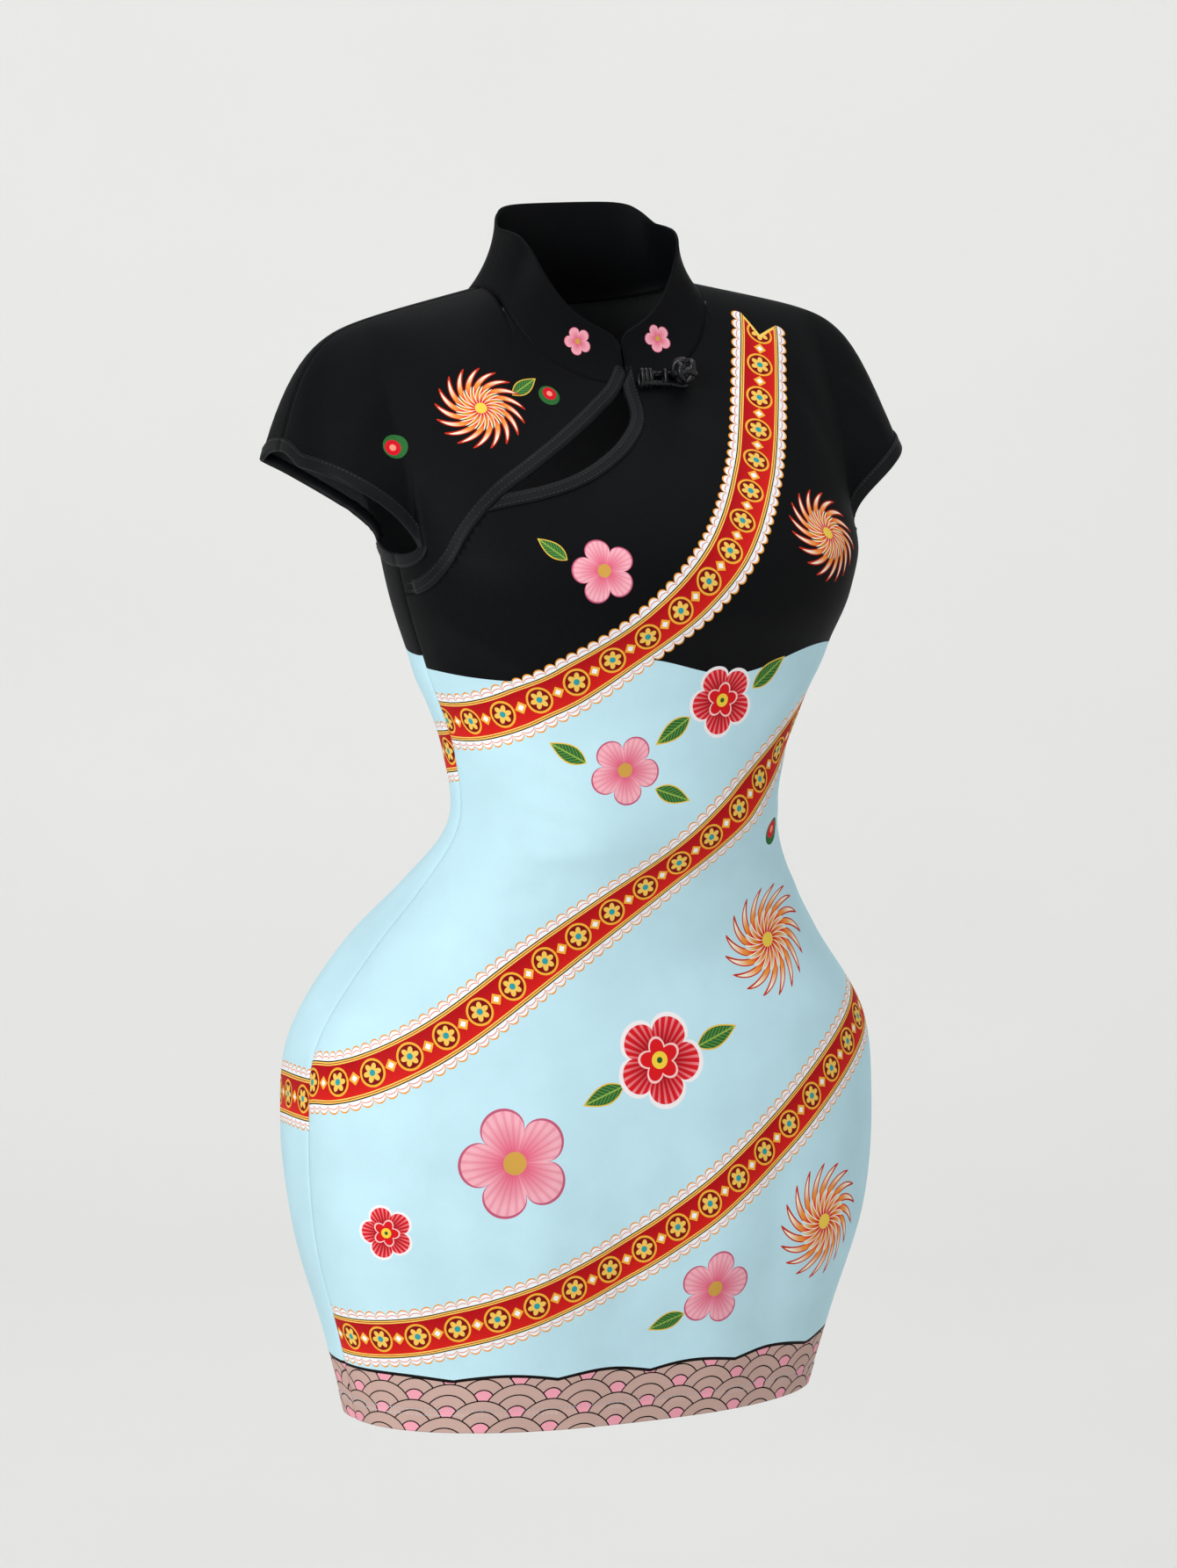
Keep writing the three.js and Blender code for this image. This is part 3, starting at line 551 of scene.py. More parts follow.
def ribbonOn(points, normals, rows, reach):  # length along, signed distance over half width, to the end
    out = np.zeros((len(points), 3))
    out[:, 1], out[:, 2] = reach, -1000
    edges = np.full((len(points), len(rows) + 1), np.inf)
    for k, (line, halfWidth) in enumerate(rows):
        run = 20 * unit(np.stack([line[0] - line[2], line[-1] - line[-3]]))
        line = evenly(np.concatenate([line[:1] + run[:1], line, line[-1:] + run[1:]]), 3)
        segment, share, gap = nearLine(points, line)
        step = np.diff(line, axis=0)
        away = points - line[segment] - share[:, None] * step[segment]
        side = np.sign((np.cross(step[segment], away) * normals).sum(1))
        length = np.linalg.norm(step[0])
        along = (segment + share) * length - 20
        toEnd = np.minimum(along, len(step) * length - 40 - along)
        mine = gap < edges.min(1)
        edges[:, k] = gap
        signed = np.clip(side * gap / halfWidth, -reach, reach)
        shown = np.where(gap / halfWidth < reach, toEnd, -1000)
        out[mine] = np.stack([along, signed, shown], 1)[mine]
    edges.sort(axis=1)
    if len(rows) > 1:
        out[edges[:, 1] - edges[:, 0] < 9, 2] = -1000
    return out


def groundOn(points, panel):  # mm above the black edge, and mm inside the wave scales
    x, z = points[:, 0], points[:, 2]
    black = z + 238 + 7 * np.sin(x / 24)
    if panel == "back":
        black = z + 232 + 9 * np.cos(x / 30)
    if panel in ("lap", "collar"):
        black = np.full(len(points), 50.0)
    waves = waveBorder["top"] + waveBorder["sway"] * np.abs(np.sin(x / waveBorder["turn"])) - z
    return np.stack([black, waves, 0 * x], -1)


def printOn(points, normals, panel):
    face = 1 if panel == "back" else -1
    stamps = [(*frameAt(x, z, face), r, turn, kind) for p, kind, x, z, r, turn in blooms if p == panel]
    leafRows = [(*frameAt(x, z, face), r, turn, 1) for p, x, z, r, turn in leaves if p == panel]
    lines = [(sashLine(t, face), w) for p, w, t in sashes if p == panel]
    return {
        "sash": ribbonOn(points, normals, lines, 2.0),
        "bloom": stampOn(points, stamps, 5.0),
        "leaf": stampOn(points, leafRows, 5.0),
        "ground": groundOn(points, panel),
    }


def clothCoordinates(points, face):  # mm round the ring from the middle, and mm up the cloth
    x, z = points[:, 0], points[:, 2]
    k = np.linspace(0, 1, 60)
    tableZ = np.linspace(hemZ, bust["z"], 60)
    ring = ringPoint(tableZ[:, None], (k * np.pi / 2)[None, :], 1, face)
    arc = np.concatenate([np.zeros((60, 1)), np.cumsum(np.linalg.norm(np.diff(ring, axis=1), axis=2), axis=1)], 1)
    power = sectionAt("frontPow" if face < 0 else "backPow", z)
    u = np.arcsin(np.minimum(1, np.abs(x) / sectionAt("half", z)) ** (power / 2)) / (np.pi / 2)
    row = np.clip((z - hemZ) / (bust["z"] - hemZ) * 59, 0, 58.999)
    i, j = row.astype(int), np.clip(u * 59, 0, 58.999).astype(int)
    f, g = row - i, u * 59 - j
    at = lambda a, b: arc[a, b]
    low = at(i, j) * (1 - g) + at(i, j + 1) * g
    high = at(i + 1, j) * (1 - g) + at(i + 1, j + 1) * g
    return np.stack([np.sign(x) * (low * (1 - f) + high * f), z - hemZ, 0 * x], -1)


# materials

def linear(code):  # sRGB hex to the linear colour that a shader takes
    value = [int(code[i:i + 2], 16) / 255 for i in (1, 3, 5)]
    return [v / 12.92 if v <= 0.04045 else ((v + 0.055) / 1.055) ** 2.4 for v in value] + [1.0]


def addNodes(tree, rows, made=None):
    # A row is a name, a Math operation in capitals or a node kind, its inputs and its settings.
    # An input is a number, a hex colour, or an earlier row's name with :n for its nth output.
    made = dict(made or {})
    for name, kind, *rest in rows:
        inputs = rest[0] if rest else ()
        node = tree.nodes.new("ShaderNodeMath" if kind.isupper() else "ShaderNode" + kind)
        for key, value in (rest[1] if len(rest) > 1 else {}).items():
            setattr(node, key, value)
        if kind.isupper():
            node.operation = kind
        for place, value in (inputs.items() if isinstance(inputs, dict) else enumerate(inputs)):
            if isinstance(value, str) and value[0] != "#":
                source, _, output = value.partition(":")
                tree.links.new(made[source].outputs[int(output or 0)], node.inputs[place])
            else:
                node.inputs[place].default_value = linear(value) if isinstance(value, str) else value
        made[name] = node
    return made


def newMaterial(name, rows):
    material = bpy.data.materials.new(name)
    material.use_nodes = True
    material.node_tree.nodes.clear()
    addNodes(material.node_tree, rows)
    return material


# Knit of polyester and elastane, 1.2 mm between wales: a matt face with a faint vertical rib.
# The rib is drawn twice as coarse as the real one, so that it shows at all.
knitRows = [
    ("clothAt", "Attribute", (), {"attribute_name": "cloth"}),
    ("clothXyz", "SeparateXYZ", ["clothAt:1"]),
    ("wale", "MULTIPLY", ["clothXyz:0", 2 * math.pi / 1.2]),
    ("waleWave", "SINE", ["wale"]),
    ("course", "MULTIPLY", ["clothXyz:1", 2 * math.pi / 1.0]),
    ("courseWave", "SINE", ["course"]),
    ("loops", "MULTIPLY", ["waleWave", "courseWave"]),
    ("place", "TexCoord"),
    ("fuzz", "TexNoise", {"Vector": "place:3", "Scale": 900.0, "Detail": 2.0}),
    ("mottle", "TexNoise", {"Vector": "place:3", "Scale": 22.0, "Detail": 3.0}),
    ("rib", "MULTIPLY_ADD", ["waleWave", 0.6, "loops"]),
    ("height", "MULTIPLY_ADD", ["fuzz", 1.6, "rib"]),
    ("relief", "Bump", {"Height": "height", "Strength": 0.12, "Distance": 0.0004}),
]

printRows = knitRows + [
    ("groundAt", "Attribute", (), {"attribute_name": "ground"}),
    ("ground", "SeparateXYZ", ["groundAt:1"]),
    ("isBlack", "GREATER_THAN", ["ground:0", 0.0]),
    ("base", "MixRGB", ["isBlack", "#c2e6f1", "#0a0b0d"]),
    # wave scales: rows of arcs 46 mm across, each row half a scale on from the last
    ("wx", "DIVIDE", ["clothXyz:0", 46.0]), ("wy", "DIVIDE", ["clothXyz:1", 11.5]),
    ("wRow", "FLOOR", ["wy"]), ("wRise", "FRACT", ["wy"]),
    ("wOdd", "MODULO", ["wRow", 2.0]), ("wShift", "MULTIPLY_ADD", ["wOdd", 0.5, "wx"]),
    ("wFract", "FRACT", ["wShift"]), ("wSide", "SUBTRACT", ["wFract", 0.5]),
    ("wAcross", "ABSOLUTE", ["wSide"]),
    ("w0x", "MULTIPLY", ["wAcross", 2.0]), ("w0y", "MULTIPLY", ["wRise", 0.5]),
    ("w0v", "CombineXYZ", ["w0x", "w0y", 0.0]), ("w0", "VectorMath", ["w0v"], {"operation": "LENGTH"}),
    ("w1x", "SUBTRACT", [1.0, "w0x"]), ("w1y", "ADD", ["w0y", 0.5]),
    ("w1v", "CombineXYZ", ["w1x", "w1y", 0.0]), ("w1", "VectorMath", ["w1v"], {"operation": "LENGTH"}),
    ("wIn", "LESS_THAN", ["w1:1", 1.0]), ("wGap", "SUBTRACT", ["w1:1", "w0:1"]),
    ("wPart", "MULTIPLY", ["wGap", "wIn"]), ("wR", "ADD", ["wPart", "w0:1"]),
    ("wRing", "MULTIPLY", ["wR", 3.0]), ("wRingFract", "FRACT", ["wRing"]),
    ("wLine", "GREATER_THAN", ["wRingFract", 0.88]), ("wPinkAt", "LESS_THAN", ["wR", 0.33]),
    ("wFill", "MixRGB", ["wPinkAt", "#c8a79d", "#f2a3b3"]),
    ("wInk", "MixRGB", ["wLine", "wFill", "#15100f"]),
    ("wIsIn", "GREATER_THAN", ["ground:1", 0.0]), ("wEdge", "LESS_THAN", ["ground:1", 2.2]),
    ("wInk2", "MixRGB", ["wEdge", "wInk", "#15100f"]), ("c0", "MixRGB", ["wIsIn", "base", "wInk2"]),
    # sash: red brocade with gold rounds and small lozenges, a gold border and white scallops,
    # and swallowtail ends
    ("sashAt", "Attribute", (), {"attribute_name": "sash"}),
    ("sash", "SeparateXYZ", ["sashAt:1"]),
    ("sAway", "ABSOLUTE", ["sash:1"]), ("sMask", "GREATER_THAN", ["sash:2", 0.0]),
    ("sBeat", "DIVIDE", ["sash:0", 8.0]), ("sFract", "FRACT", ["sBeat"]),
    ("sPlace", "SUBTRACT", ["sFract", 0.5]),
    ("sPlace2", "MULTIPLY", ["sPlace", "sPlace"]), ("sRound", "MULTIPLY_ADD", ["sPlace2", -3.9, 1.0]),
    ("sRound2", "POWER", ["sRound", 0.5]), ("sEdge", "MULTIPLY_ADD", ["sRound2", 0.36, 1.1]),
    ("sLace", "LESS_THAN", ["sAway", "sEdge"]), ("sLaceIs", "MULTIPLY", ["sLace", "sMask"]),
    ("sRimAt", "ADD", ["sEdge", 0.08]), ("sRim", "LESS_THAN", ["sAway", "sRimAt"]),
    ("sRimIs", "MULTIPLY", ["sRim", "sMask"]),
    ("sVeinAt", "MULTIPLY_ADD", ["sRound2", 0.2, 1.08]), ("sVeinGap", "SUBTRACT", ["sAway", "sVeinAt"]),
    ("sVeinGap2", "ABSOLUTE", ["sVeinGap"]), ("sVein", "LESS_THAN", ["sVeinGap2", 0.025]),
    ("sVeinIs", "MULTIPLY", ["sVein", "sLaceIs"]),
    ("sNotch", "MULTIPLY_ADD", ["sAway", 15.0, "sash:2"]), ("sTail", "SUBTRACT", ["sNotch", 15.0]),
    ("sTailIs", "GREATER_THAN", ["sTail", 0.0]), ("sHemIs", "LESS_THAN", ["sTail", 2.6]),
    ("sBody0", "LESS_THAN", ["sAway", 1.0]), ("sBody1", "MULTIPLY", ["sBody0", "sMask"]),
    ("sBodyIs", "MULTIPLY", ["sBody1", "sTailIs"]),
    ("sInner0", "LESS_THAN", ["sAway", 1.1]), ("sHole", "MULTIPLY", ["sInner0", "sMask"]),
    ("sOpen", "SUBTRACT", [1.0, "sTailIs"]), ("sHoleIs", "MULTIPLY", ["sHole", "sOpen"]),
    ("sLine0", "LESS_THAN", ["sAway", 1.06]), ("sLineIs", "MULTIPLY", ["sLine0", "sMask"]),
    ("sTone", "MapRange", {0: "sash:1", 1: -0.9, 2: 0.9}),
    ("sRed", "MixRGB", ["sTone", "#b30b16", "#e4241c"]),
    ("sHatch0", "MULTIPLY_ADD", ["sash:1", 3.2, "sBeat"]), ("sHatch1", "MULTIPLY", ["sHatch0", 3.0]),
    ("sHatch2", "FRACT", ["sHatch1"]),
    ("sHatch", "LESS_THAN", ["sHatch2", 0.22]), ("sInk0", "MixRGB", ["sHatch", "sRed", "#98101a"]),
    ("sCell", "DIVIDE", ["sash:0", 27.0]), ("sCellF", "FRACT", ["sCell"]),
    ("sCellC", "SUBTRACT", ["sCellF", 0.5]),
    ("sU", "MULTIPLY", ["sCellC", 27.0]), ("sV", "MULTIPLY", ["sash:1", 12.5]),
    ("sUV", "CombineXYZ", ["sU", "sV", 0.0]),
    ("sR", "VectorMath", ["sUV"], {"operation": "LENGTH"}), ("sAng", "ARCTAN2", ["sV", "sU"]),
    ("sAng3", "MULTIPLY", ["sAng", 3.0]), ("sPet0", "COSINE", ["sAng3"]), ("sPet1", "ABSOLUTE", ["sPet0"]),
    ("sPetR", "MULTIPLY_ADD", ["sPet1", 3.0, 3.2]), ("sPet", "LESS_THAN", ["sR:1", "sPetR"]),
    ("sRing0", "COMPARE", ["sR:1", 8.1, 0.7]), ("sDisc", "LESS_THAN", ["sR:1", 8.1]),
    ("sHeart", "LESS_THAN", ["sR:1", 2.0]),
    ("sInk1", "MixRGB", ["sDisc", "sInk0", "#7d0b14"]), ("sInk2", "MixRGB", ["sPet", "sInk1", "#f6c75a"]),
    ("sInk3", "MixRGB", ["sHeart", "sInk2", "#2f9ea6"]),
    ("sInk4", "MixRGB", ["sRing0", "sInk3", "#f4b23c"]),
    ("sU2", "ABSOLUTE", ["sU"]), ("sFar", "SUBTRACT", [13.5, "sU2"]), ("sV2", "ABSOLUTE", ["sV"]),
    ("sLoz", "ADD", ["sFar", "sV2"]),
    ("sLozIs", "LESS_THAN", ["sLoz", 4.2]), ("sLozIn", "LESS_THAN", ["sLoz", 2.2]),
    ("sInk5", "MixRGB", ["sLozIs", "sInk4", "#f4b23c"]),
    ("sInk6", "MixRGB", ["sLozIn", "sInk5", "#f3f5f8"]), ("sBorder0", "GREATER_THAN", ["sAway", 0.83]),
    ("sBorder", "MAXIMUM", ["sBorder0", "sHemIs"]), ("sInk7", "MixRGB", ["sBorder", "sInk6", "#f7cf62"]),
    ("sCord0", "COMPARE", ["sAway", 0.915, 0.022]), ("sInk8", "MixRGB", ["sCord0", "sInk7", "#b3151c"]),
    ("c2", "MixRGB", ["sRimIs", "c0", "#ec9a32"]), ("c3", "MixRGB", ["sLaceIs", "c2", "#f3f5f8"]),
    ("c3b", "MixRGB", ["sVeinIs", "c3", "#e08a78"]), ("c4", "MixRGB", ["sLineIs", "c3b", "#241210"]),
    ("c4b", "MixRGB", ["sHoleIs", "c4", "c0"]), ("c5", "MixRGB", ["sBodyIs", "c4b", "sInk8"]),
    # leaves: pointed ovals with a pale midrib, slanting veins and a gold edge
    ("leafAt", "Attribute", (), {"attribute_name": "leaf"}),
    ("leaf", "SeparateXYZ", ["leafAt:1"]),
    ("lAway", "ABSOLUTE", ["leaf:1"]), ("lSquare", "MULTIPLY", ["leaf:0", "leaf:0"]),
    ("lFull", "SUBTRACT", [1.0, "lSquare"]), ("lLean", "MULTIPLY_ADD", ["leaf:0", -0.12, 0.42]),
    ("lEdge", "MULTIPLY", ["lFull", "lLean"]), ("lIs", "LESS_THAN", ["lAway", "lEdge"]),
    ("lRimAt", "SUBTRACT", ["lEdge", 0.06]), ("lRim", "GREATER_THAN", ["lAway", "lRimAt"]),
    ("lRib", "LESS_THAN", ["lAway", 0.035]), ("lSlant", "MULTIPLY_ADD", ["lAway", -1.2, "leaf:0"]),
    ("lVein", "MULTIPLY", ["lSlant", 5.0]), ("lVeinF", "FRACT", ["lVein"]),
    ("lVeinIs", "LESS_THAN", ["lVeinF", 0.13]),
    ("lPale", "MAXIMUM", ["lVeinIs", "lRib"]), ("lInk", "MixRGB", ["lPale", "#2c6a34", "#8fb04a"]),
    ("lInk2", "MixRGB", ["lRim", "lInk", "#e9c04e"]), ("lOn", "GREATER_THAN", ["leaf:2", 0.5]),
    ("lHere", "MULTIPLY", ["lIs", "lOn"]),
    ("c6", "MixRGB", ["lHere", "c5", "lInk2"]),
    # blooms: distance and angle from the middle of each
    ("bloomAt", "Attribute", (), {"attribute_name": "bloom"}),
    ("bloom", "SeparateXYZ", ["bloomAt:1"]),
    ("bFlat", "CombineXYZ", ["bloom:0", "bloom:1", 0.0]),
    ("bLen", "VectorMath", ["bFlat"], {"operation": "LENGTH"}),
    ("bAngle", "ARCTAN2", ["bloom:1", "bloom:0"]),
    ("bStreak0", "MULTIPLY", ["bAngle", 34.0]), ("bStreak1", "SINE", ["bStreak0"]),
    ("bStreak", "GREATER_THAN", ["bStreak1", 0.35]),
    # peony: five outer and five inner petals with white edges round a yellow eye
    ("pA", "MULTIPLY", ["bAngle", 2.5]), ("pSin", "SINE", ["pA"]), ("pWave", "ABSOLUTE", ["pSin"]),
    ("pWave2", "POWER", ["pWave", 0.55]), ("pEdge", "MULTIPLY_ADD", ["pWave2", 0.3, 0.66]),
    ("pIs", "LESS_THAN", ["bLen:1", "pEdge"]), ("pRimAt", "SUBTRACT", ["pEdge", 0.09]),
    ("pRim", "GREATER_THAN", ["bLen:1", "pRimAt"]), ("pRatio", "DIVIDE", ["bLen:1", "pEdge"]),
    ("pShade", "MapRange", {0: "pRatio", 1: 0.35, 2: 0.95}), ("pPinkAt", "MULTIPLY", ["pShade", "bStreak"]),
    ("pFill", "MixRGB", ["pShade", "#a80e1a", "#e2202a"]),
    ("pFill2", "MixRGB", ["pPinkAt", "pFill", "#f28a90"]),
    ("pInk", "MixRGB", ["pRim", "pFill2", "#f6eef0"]),
    ("pCos", "COSINE", ["pA"]), ("pWaveIn", "ABSOLUTE", ["pCos"]),
    ("pEdgeIn", "MULTIPLY_ADD", ["pWaveIn", 0.17, 0.3]),
    ("pInner", "LESS_THAN", ["bLen:1", "pEdgeIn"]), ("pRimInAt", "SUBTRACT", ["pEdgeIn", 0.05]),
    ("pRimIn", "GREATER_THAN", ["bLen:1", "pRimInAt"]),
    ("pInkIn", "MixRGB", ["pRimIn", "#d81a22", "#f9c7c4"]),
    ("pInk2", "MixRGB", ["pInner", "pInk", "pInkIn"]), ("pEye", "LESS_THAN", ["bLen:1", 0.17]),
    ("pPupil", "LESS_THAN", ["bLen:1", 0.06]), ("pInk3", "MixRGB", ["pEye", "pInk2", "#f3cf3f"]),
    ("peony", "MixRGB", ["pPupil", "pInk3", "#2c5a2e"]),
    # chrysanthemum: two tiers of curling petals, gold to red to orange to white at the tips
    ("mCurl", "MULTIPLY_ADD", ["bLen:1", 1.1, "bAngle"]),
    ("mTurn", "MULTIPLY", ["mCurl", 17 / (2 * math.pi)]),
    ("mPing", "PINGPONG", ["mTurn", 0.5]), ("mOut", "MULTIPLY", ["mPing", 2.0]),
    ("mLeft", "SUBTRACT", [1.0, "bLen:1"]), ("mLeft2", "MAXIMUM", ["mLeft", 0.0]),
    ("mHalf", "POWER", ["mLeft2", 0.6]),
    ("mWide", "MULTIPLY", ["mHalf", 1.25]), ("mIs0", "LESS_THAN", ["mOut", "mWide"]),
    ("mNear", "LESS_THAN", ["bLen:1", 1.0]), ("mIs", "MULTIPLY", ["mIs0", "mNear"]),
    ("mLineAt", "MULTIPLY_ADD", ["mWide", 1.0, -0.24]), ("mLine", "GREATER_THAN", ["mOut", "mLineAt"]),
    ("mW1", "MapRange", {0: "bLen:1", 1: 0.4, 2: 0.56}), ("mW2", "MapRange", {0: "bLen:1", 1: 0.6, 2: 0.8}),
    ("mC1", "MixRGB", ["mW1", "#e3261a", "#f59a45"]), ("mC2", "MixRGB", ["mW2", "mC1", "#fbf3da"]),
    ("mC3", "MixRGB", ["mLine", "mC2", "#c8321c"]),
    ("mIn", "SUBTRACT", [1.0, "mOut"]), ("mShort", "MULTIPLY_ADD", ["bLen:1", -1.7, 1.0]),
    ("mShort2", "MAXIMUM", ["mShort", 0.0]),
    ("mHalfIn", "POWER", ["mShort2", 0.6]), ("mWideIn", "MULTIPLY", ["mHalfIn", 1.35]),
    ("mInIs0", "LESS_THAN", ["mIn", "mWideIn"]),
    ("mInNear", "LESS_THAN", ["bLen:1", 0.58]), ("mInIs", "MULTIPLY", ["mInIs0", "mInNear"]),
    ("mLineInAt", "SUBTRACT", ["mWideIn", 0.26]), ("mLineIn", "GREATER_THAN", ["mIn", "mLineInAt"]),
    ("mW3", "MapRange", {0: "bLen:1", 1: 0.16, 2: 0.5}), ("mC4", "MixRGB", ["mW3", "#d8251c", "#f6c33f"]),
    ("mC5", "MixRGB", ["mLineIn", "mC4", "#fdf6e4"]), ("mC6", "MixRGB", ["mInIs", "mC3", "mC5"]),
    ("mEye", "LESS_THAN", ["bLen:1", 0.13]), ("mum", "MixRGB", ["mEye", "mC6", "#f0d050"]),
    # bud: a red bead in a green cup
    ("dX", "SUBTRACT", ["bloom:0", 0.2]), ("dV", "CombineXYZ", ["dX", "bloom:1", 0.0]),
    ("dLen", "VectorMath", ["dV"], {"operation": "LENGTH"}),
    ("dRed", "LESS_THAN", ["dLen:1", 0.6]), ("dIs", "LESS_THAN", ["bLen:1", 0.92]),
    ("dPale", "LESS_THAN", ["dLen:1", 0.25]), ("dC1", "MixRGB", ["dRed", "#2c6a34", "#d8152a"]),
    ("bud", "MixRGB", ["dPale", "dC1", "#f59a80"]),
    # pink blossom: five broad petals, deeper at the heart, with an ochre eye
    ("qA", "MULTIPLY_ADD", ["bAngle", 2.5, 0.6]), ("qSin", "SINE", ["qA"]), ("qWave", "ABSOLUTE", ["qSin"]),
    ("qWave2", "POWER", ["qWave", 0.5]), ("qEdge", "MULTIPLY_ADD", ["qWave2", 0.42, 0.56]),
    ("qIs", "LESS_THAN", ["bLen:1", "qEdge"]), ("qRatio", "DIVIDE", ["bLen:1", "qEdge"]),
    ("qShade", "MapRange", {0: "qRatio", 1: 0.2, 2: 0.8}),
    ("qC1", "MixRGB", ["qShade", "#e0607f", "#f4b0bd"]),
    ("qFine", "MULTIPLY", ["bStreak", 0.3]), ("qC2", "MixRGB", ["qFine", "qC1", "#d9506f"]),
    ("qRimAt", "GREATER_THAN", ["qRatio", 0.95]), ("qC3", "MixRGB", ["qRimAt", "qC2", "#c25a78"]),
    ("qEye", "LESS_THAN", ["bLen:1", 0.2]), ("blossom", "MixRGB", ["qEye", "qC3", "#d0a04a"]),
    # the bloom that lies here
    ("is2", "COMPARE", ["bloom:2", 2.0, 0.3]),
    ("is4", "COMPARE", ["bloom:2", 4.0, 0.3]), ("is5", "COMPARE", ["bloom:2", 5.0, 0.3]),
    ("f2", "MixRGB", ["is2", "peony", "mum"]),
    ("f4", "MixRGB", ["is4", "f2", "bud"]), ("flower", "MixRGB", ["is5", "f4", "blossom"]),
    ("g2", "MixRGB", ["is2", "pIs", "mIs"]),
    ("g4", "MixRGB", ["is4", "g2", "dIs"]), ("g5", "MixRGB", ["is5", "g4", "qIs"]),
    ("bOn", "GREATER_THAN", ["bloom:2", 0.5]), ("g6", "MULTIPLY", ["g5", "bOn"]),
    ("c7", "MixRGB", ["g6", "c6", "flower"]),
    # the ink lies a little unevenly on the knit
    ("wear", "MapRange", {0: "mottle", 1: 0.3, 2: 0.7, 3: 0.95, 4: 1.03}),
    ("dyed", "VectorMath", {0: "c7", 3: "wear"}, {"operation": "SCALE"}),
    ("cloth", "BsdfPrincipled", {"Base Color": "dyed", "Roughness": 0.6, "Normal": "relief", "IOR": 1.45,
                                 "Specular IOR Level": 0.08}),
    ("out", "OutputMaterial", ["cloth"]),
]
printedKnit = newMaterial("printedPolyesterKnit", printRows)

# The reverse of the same knit: the print shows through, greyed.
reverseKnit = newMaterial("reverseOfPrintedKnit", knitRows + [
    ("groundAt", "Attribute", (), {"attribute_name": "ground"}),
    ("ground", "SeparateXYZ", ["groundAt:1"]),
    ("isBlack", "MapRange", {0: "ground:0", 1: -2.0, 2: 2.0}),
    ("base", "MixRGB", ["isBlack", "#c3dde5", "#1d1e22"]),
    ("wear", "MapRange", {0: "mottle", 1: 0.3, 2: 0.7, 3: 0.92, 4: 1.04}),
    ("dyed", "VectorMath", {0: "base", 3: "wear"}, {"operation": "SCALE"}),
    ("cloth", "BsdfPrincipled", {"Base Color": "dyed", "Roughness": 0.75, "Normal": "relief", "Sheen Weight": 0.15}),
    ("out", "OutputMaterial", ["cloth"]),
])

# Black knit cut on the cross for the bindings: softer gloss where it is pulled tight.
bindingKnit = newMaterial("blackBiasKnit", knitRows[7:10] + [
    ("rubbed", "MapRange", {0: "mottle", 1: 0.35, 2: 0.7}),
    ("tone", "MixRGB", ["rubbed", "#0a0b0d", "#131417"]),
    ("relief", "Bump", {"Height": "fuzz", "Strength": 0.2, "Distance": 0.0003}),
    ("cloth", "BsdfPrincipled", {"Base Color": "tone", "Roughness": 0.55, "Normal": "relief",
                                 "Specular IOR Level": 0.14}),
    ("out", "OutputMaterial", ["cloth"]),
])

# Spun polyester sewing thread, with a slight shine on each stitch.
threadBlack = newMaterial("blackSewingThread", [
    ("place", "TexCoord"),
    ("ply", "TexNoise", {"Vector": "place:3", "Scale": 2500.0}),
    ("tone", "MixRGB", ["ply", "#0d0e10", "#24262a"]),
    ("thread", "BsdfPrincipled", {"Base Color": "tone", "Roughness": 0.45}),
    ("out", "OutputMaterial", ["thread"]),
])
threadBlue = newMaterial("paleBlueSewingThread", [
    ("place", "TexCoord"),
    ("ply", "TexNoise", {"Vector": "place:3", "Scale": 2500.0}),
    ("tone", "MixRGB", ["ply", "#8fc3d3", "#c4e4ee"]),
    ("thread", "BsdfPrincipled", {"Base Color": "tone", "Roughness": 0.45}),
    ("out", "OutputMaterial", ["thread"]),
])

# Satin cord for the frog, knotted tight: smooth, dark and softly glossy.
satinCord = newMaterial("blackSatinCord", [
    ("place", "TexCoord"),
    ("ply", "TexNoise", {"Vector": "place:3", "Scale": 1400.0, "Detail": 3.0}),
    ("tone", "MixRGB", ["ply", "#070809", "#121317"]),
    ("relief", "Bump", {"Height": "ply", "Strength": 0.25, "Distance": 0.0002}),
    ("cord", "BsdfPrincipled", {"Base Color": "tone", "Roughness": 0.36, "Normal": "relief",
                                "Specular IOR Level": 0.35}),
    ("out", "OutputMaterial", ["cord"]),
])
print("materials made")

# panels

panelSide = {"front": -1, "lap": -1, "back": 1}


def slitValue(points, face):
    drop = np.clip((slit["z"] - points[:, 2]) / (slit["z"] - hemZ), 0, 1)
    half = slit["open"] * drop ** slit["pow"]
    value = face * (points[:, 1] - sectionAt("seamY", points[:, 2])) - half
    return np.where((points[:, 0] < 0) | (points[:, 2] >= slit["z"]), 100, value)


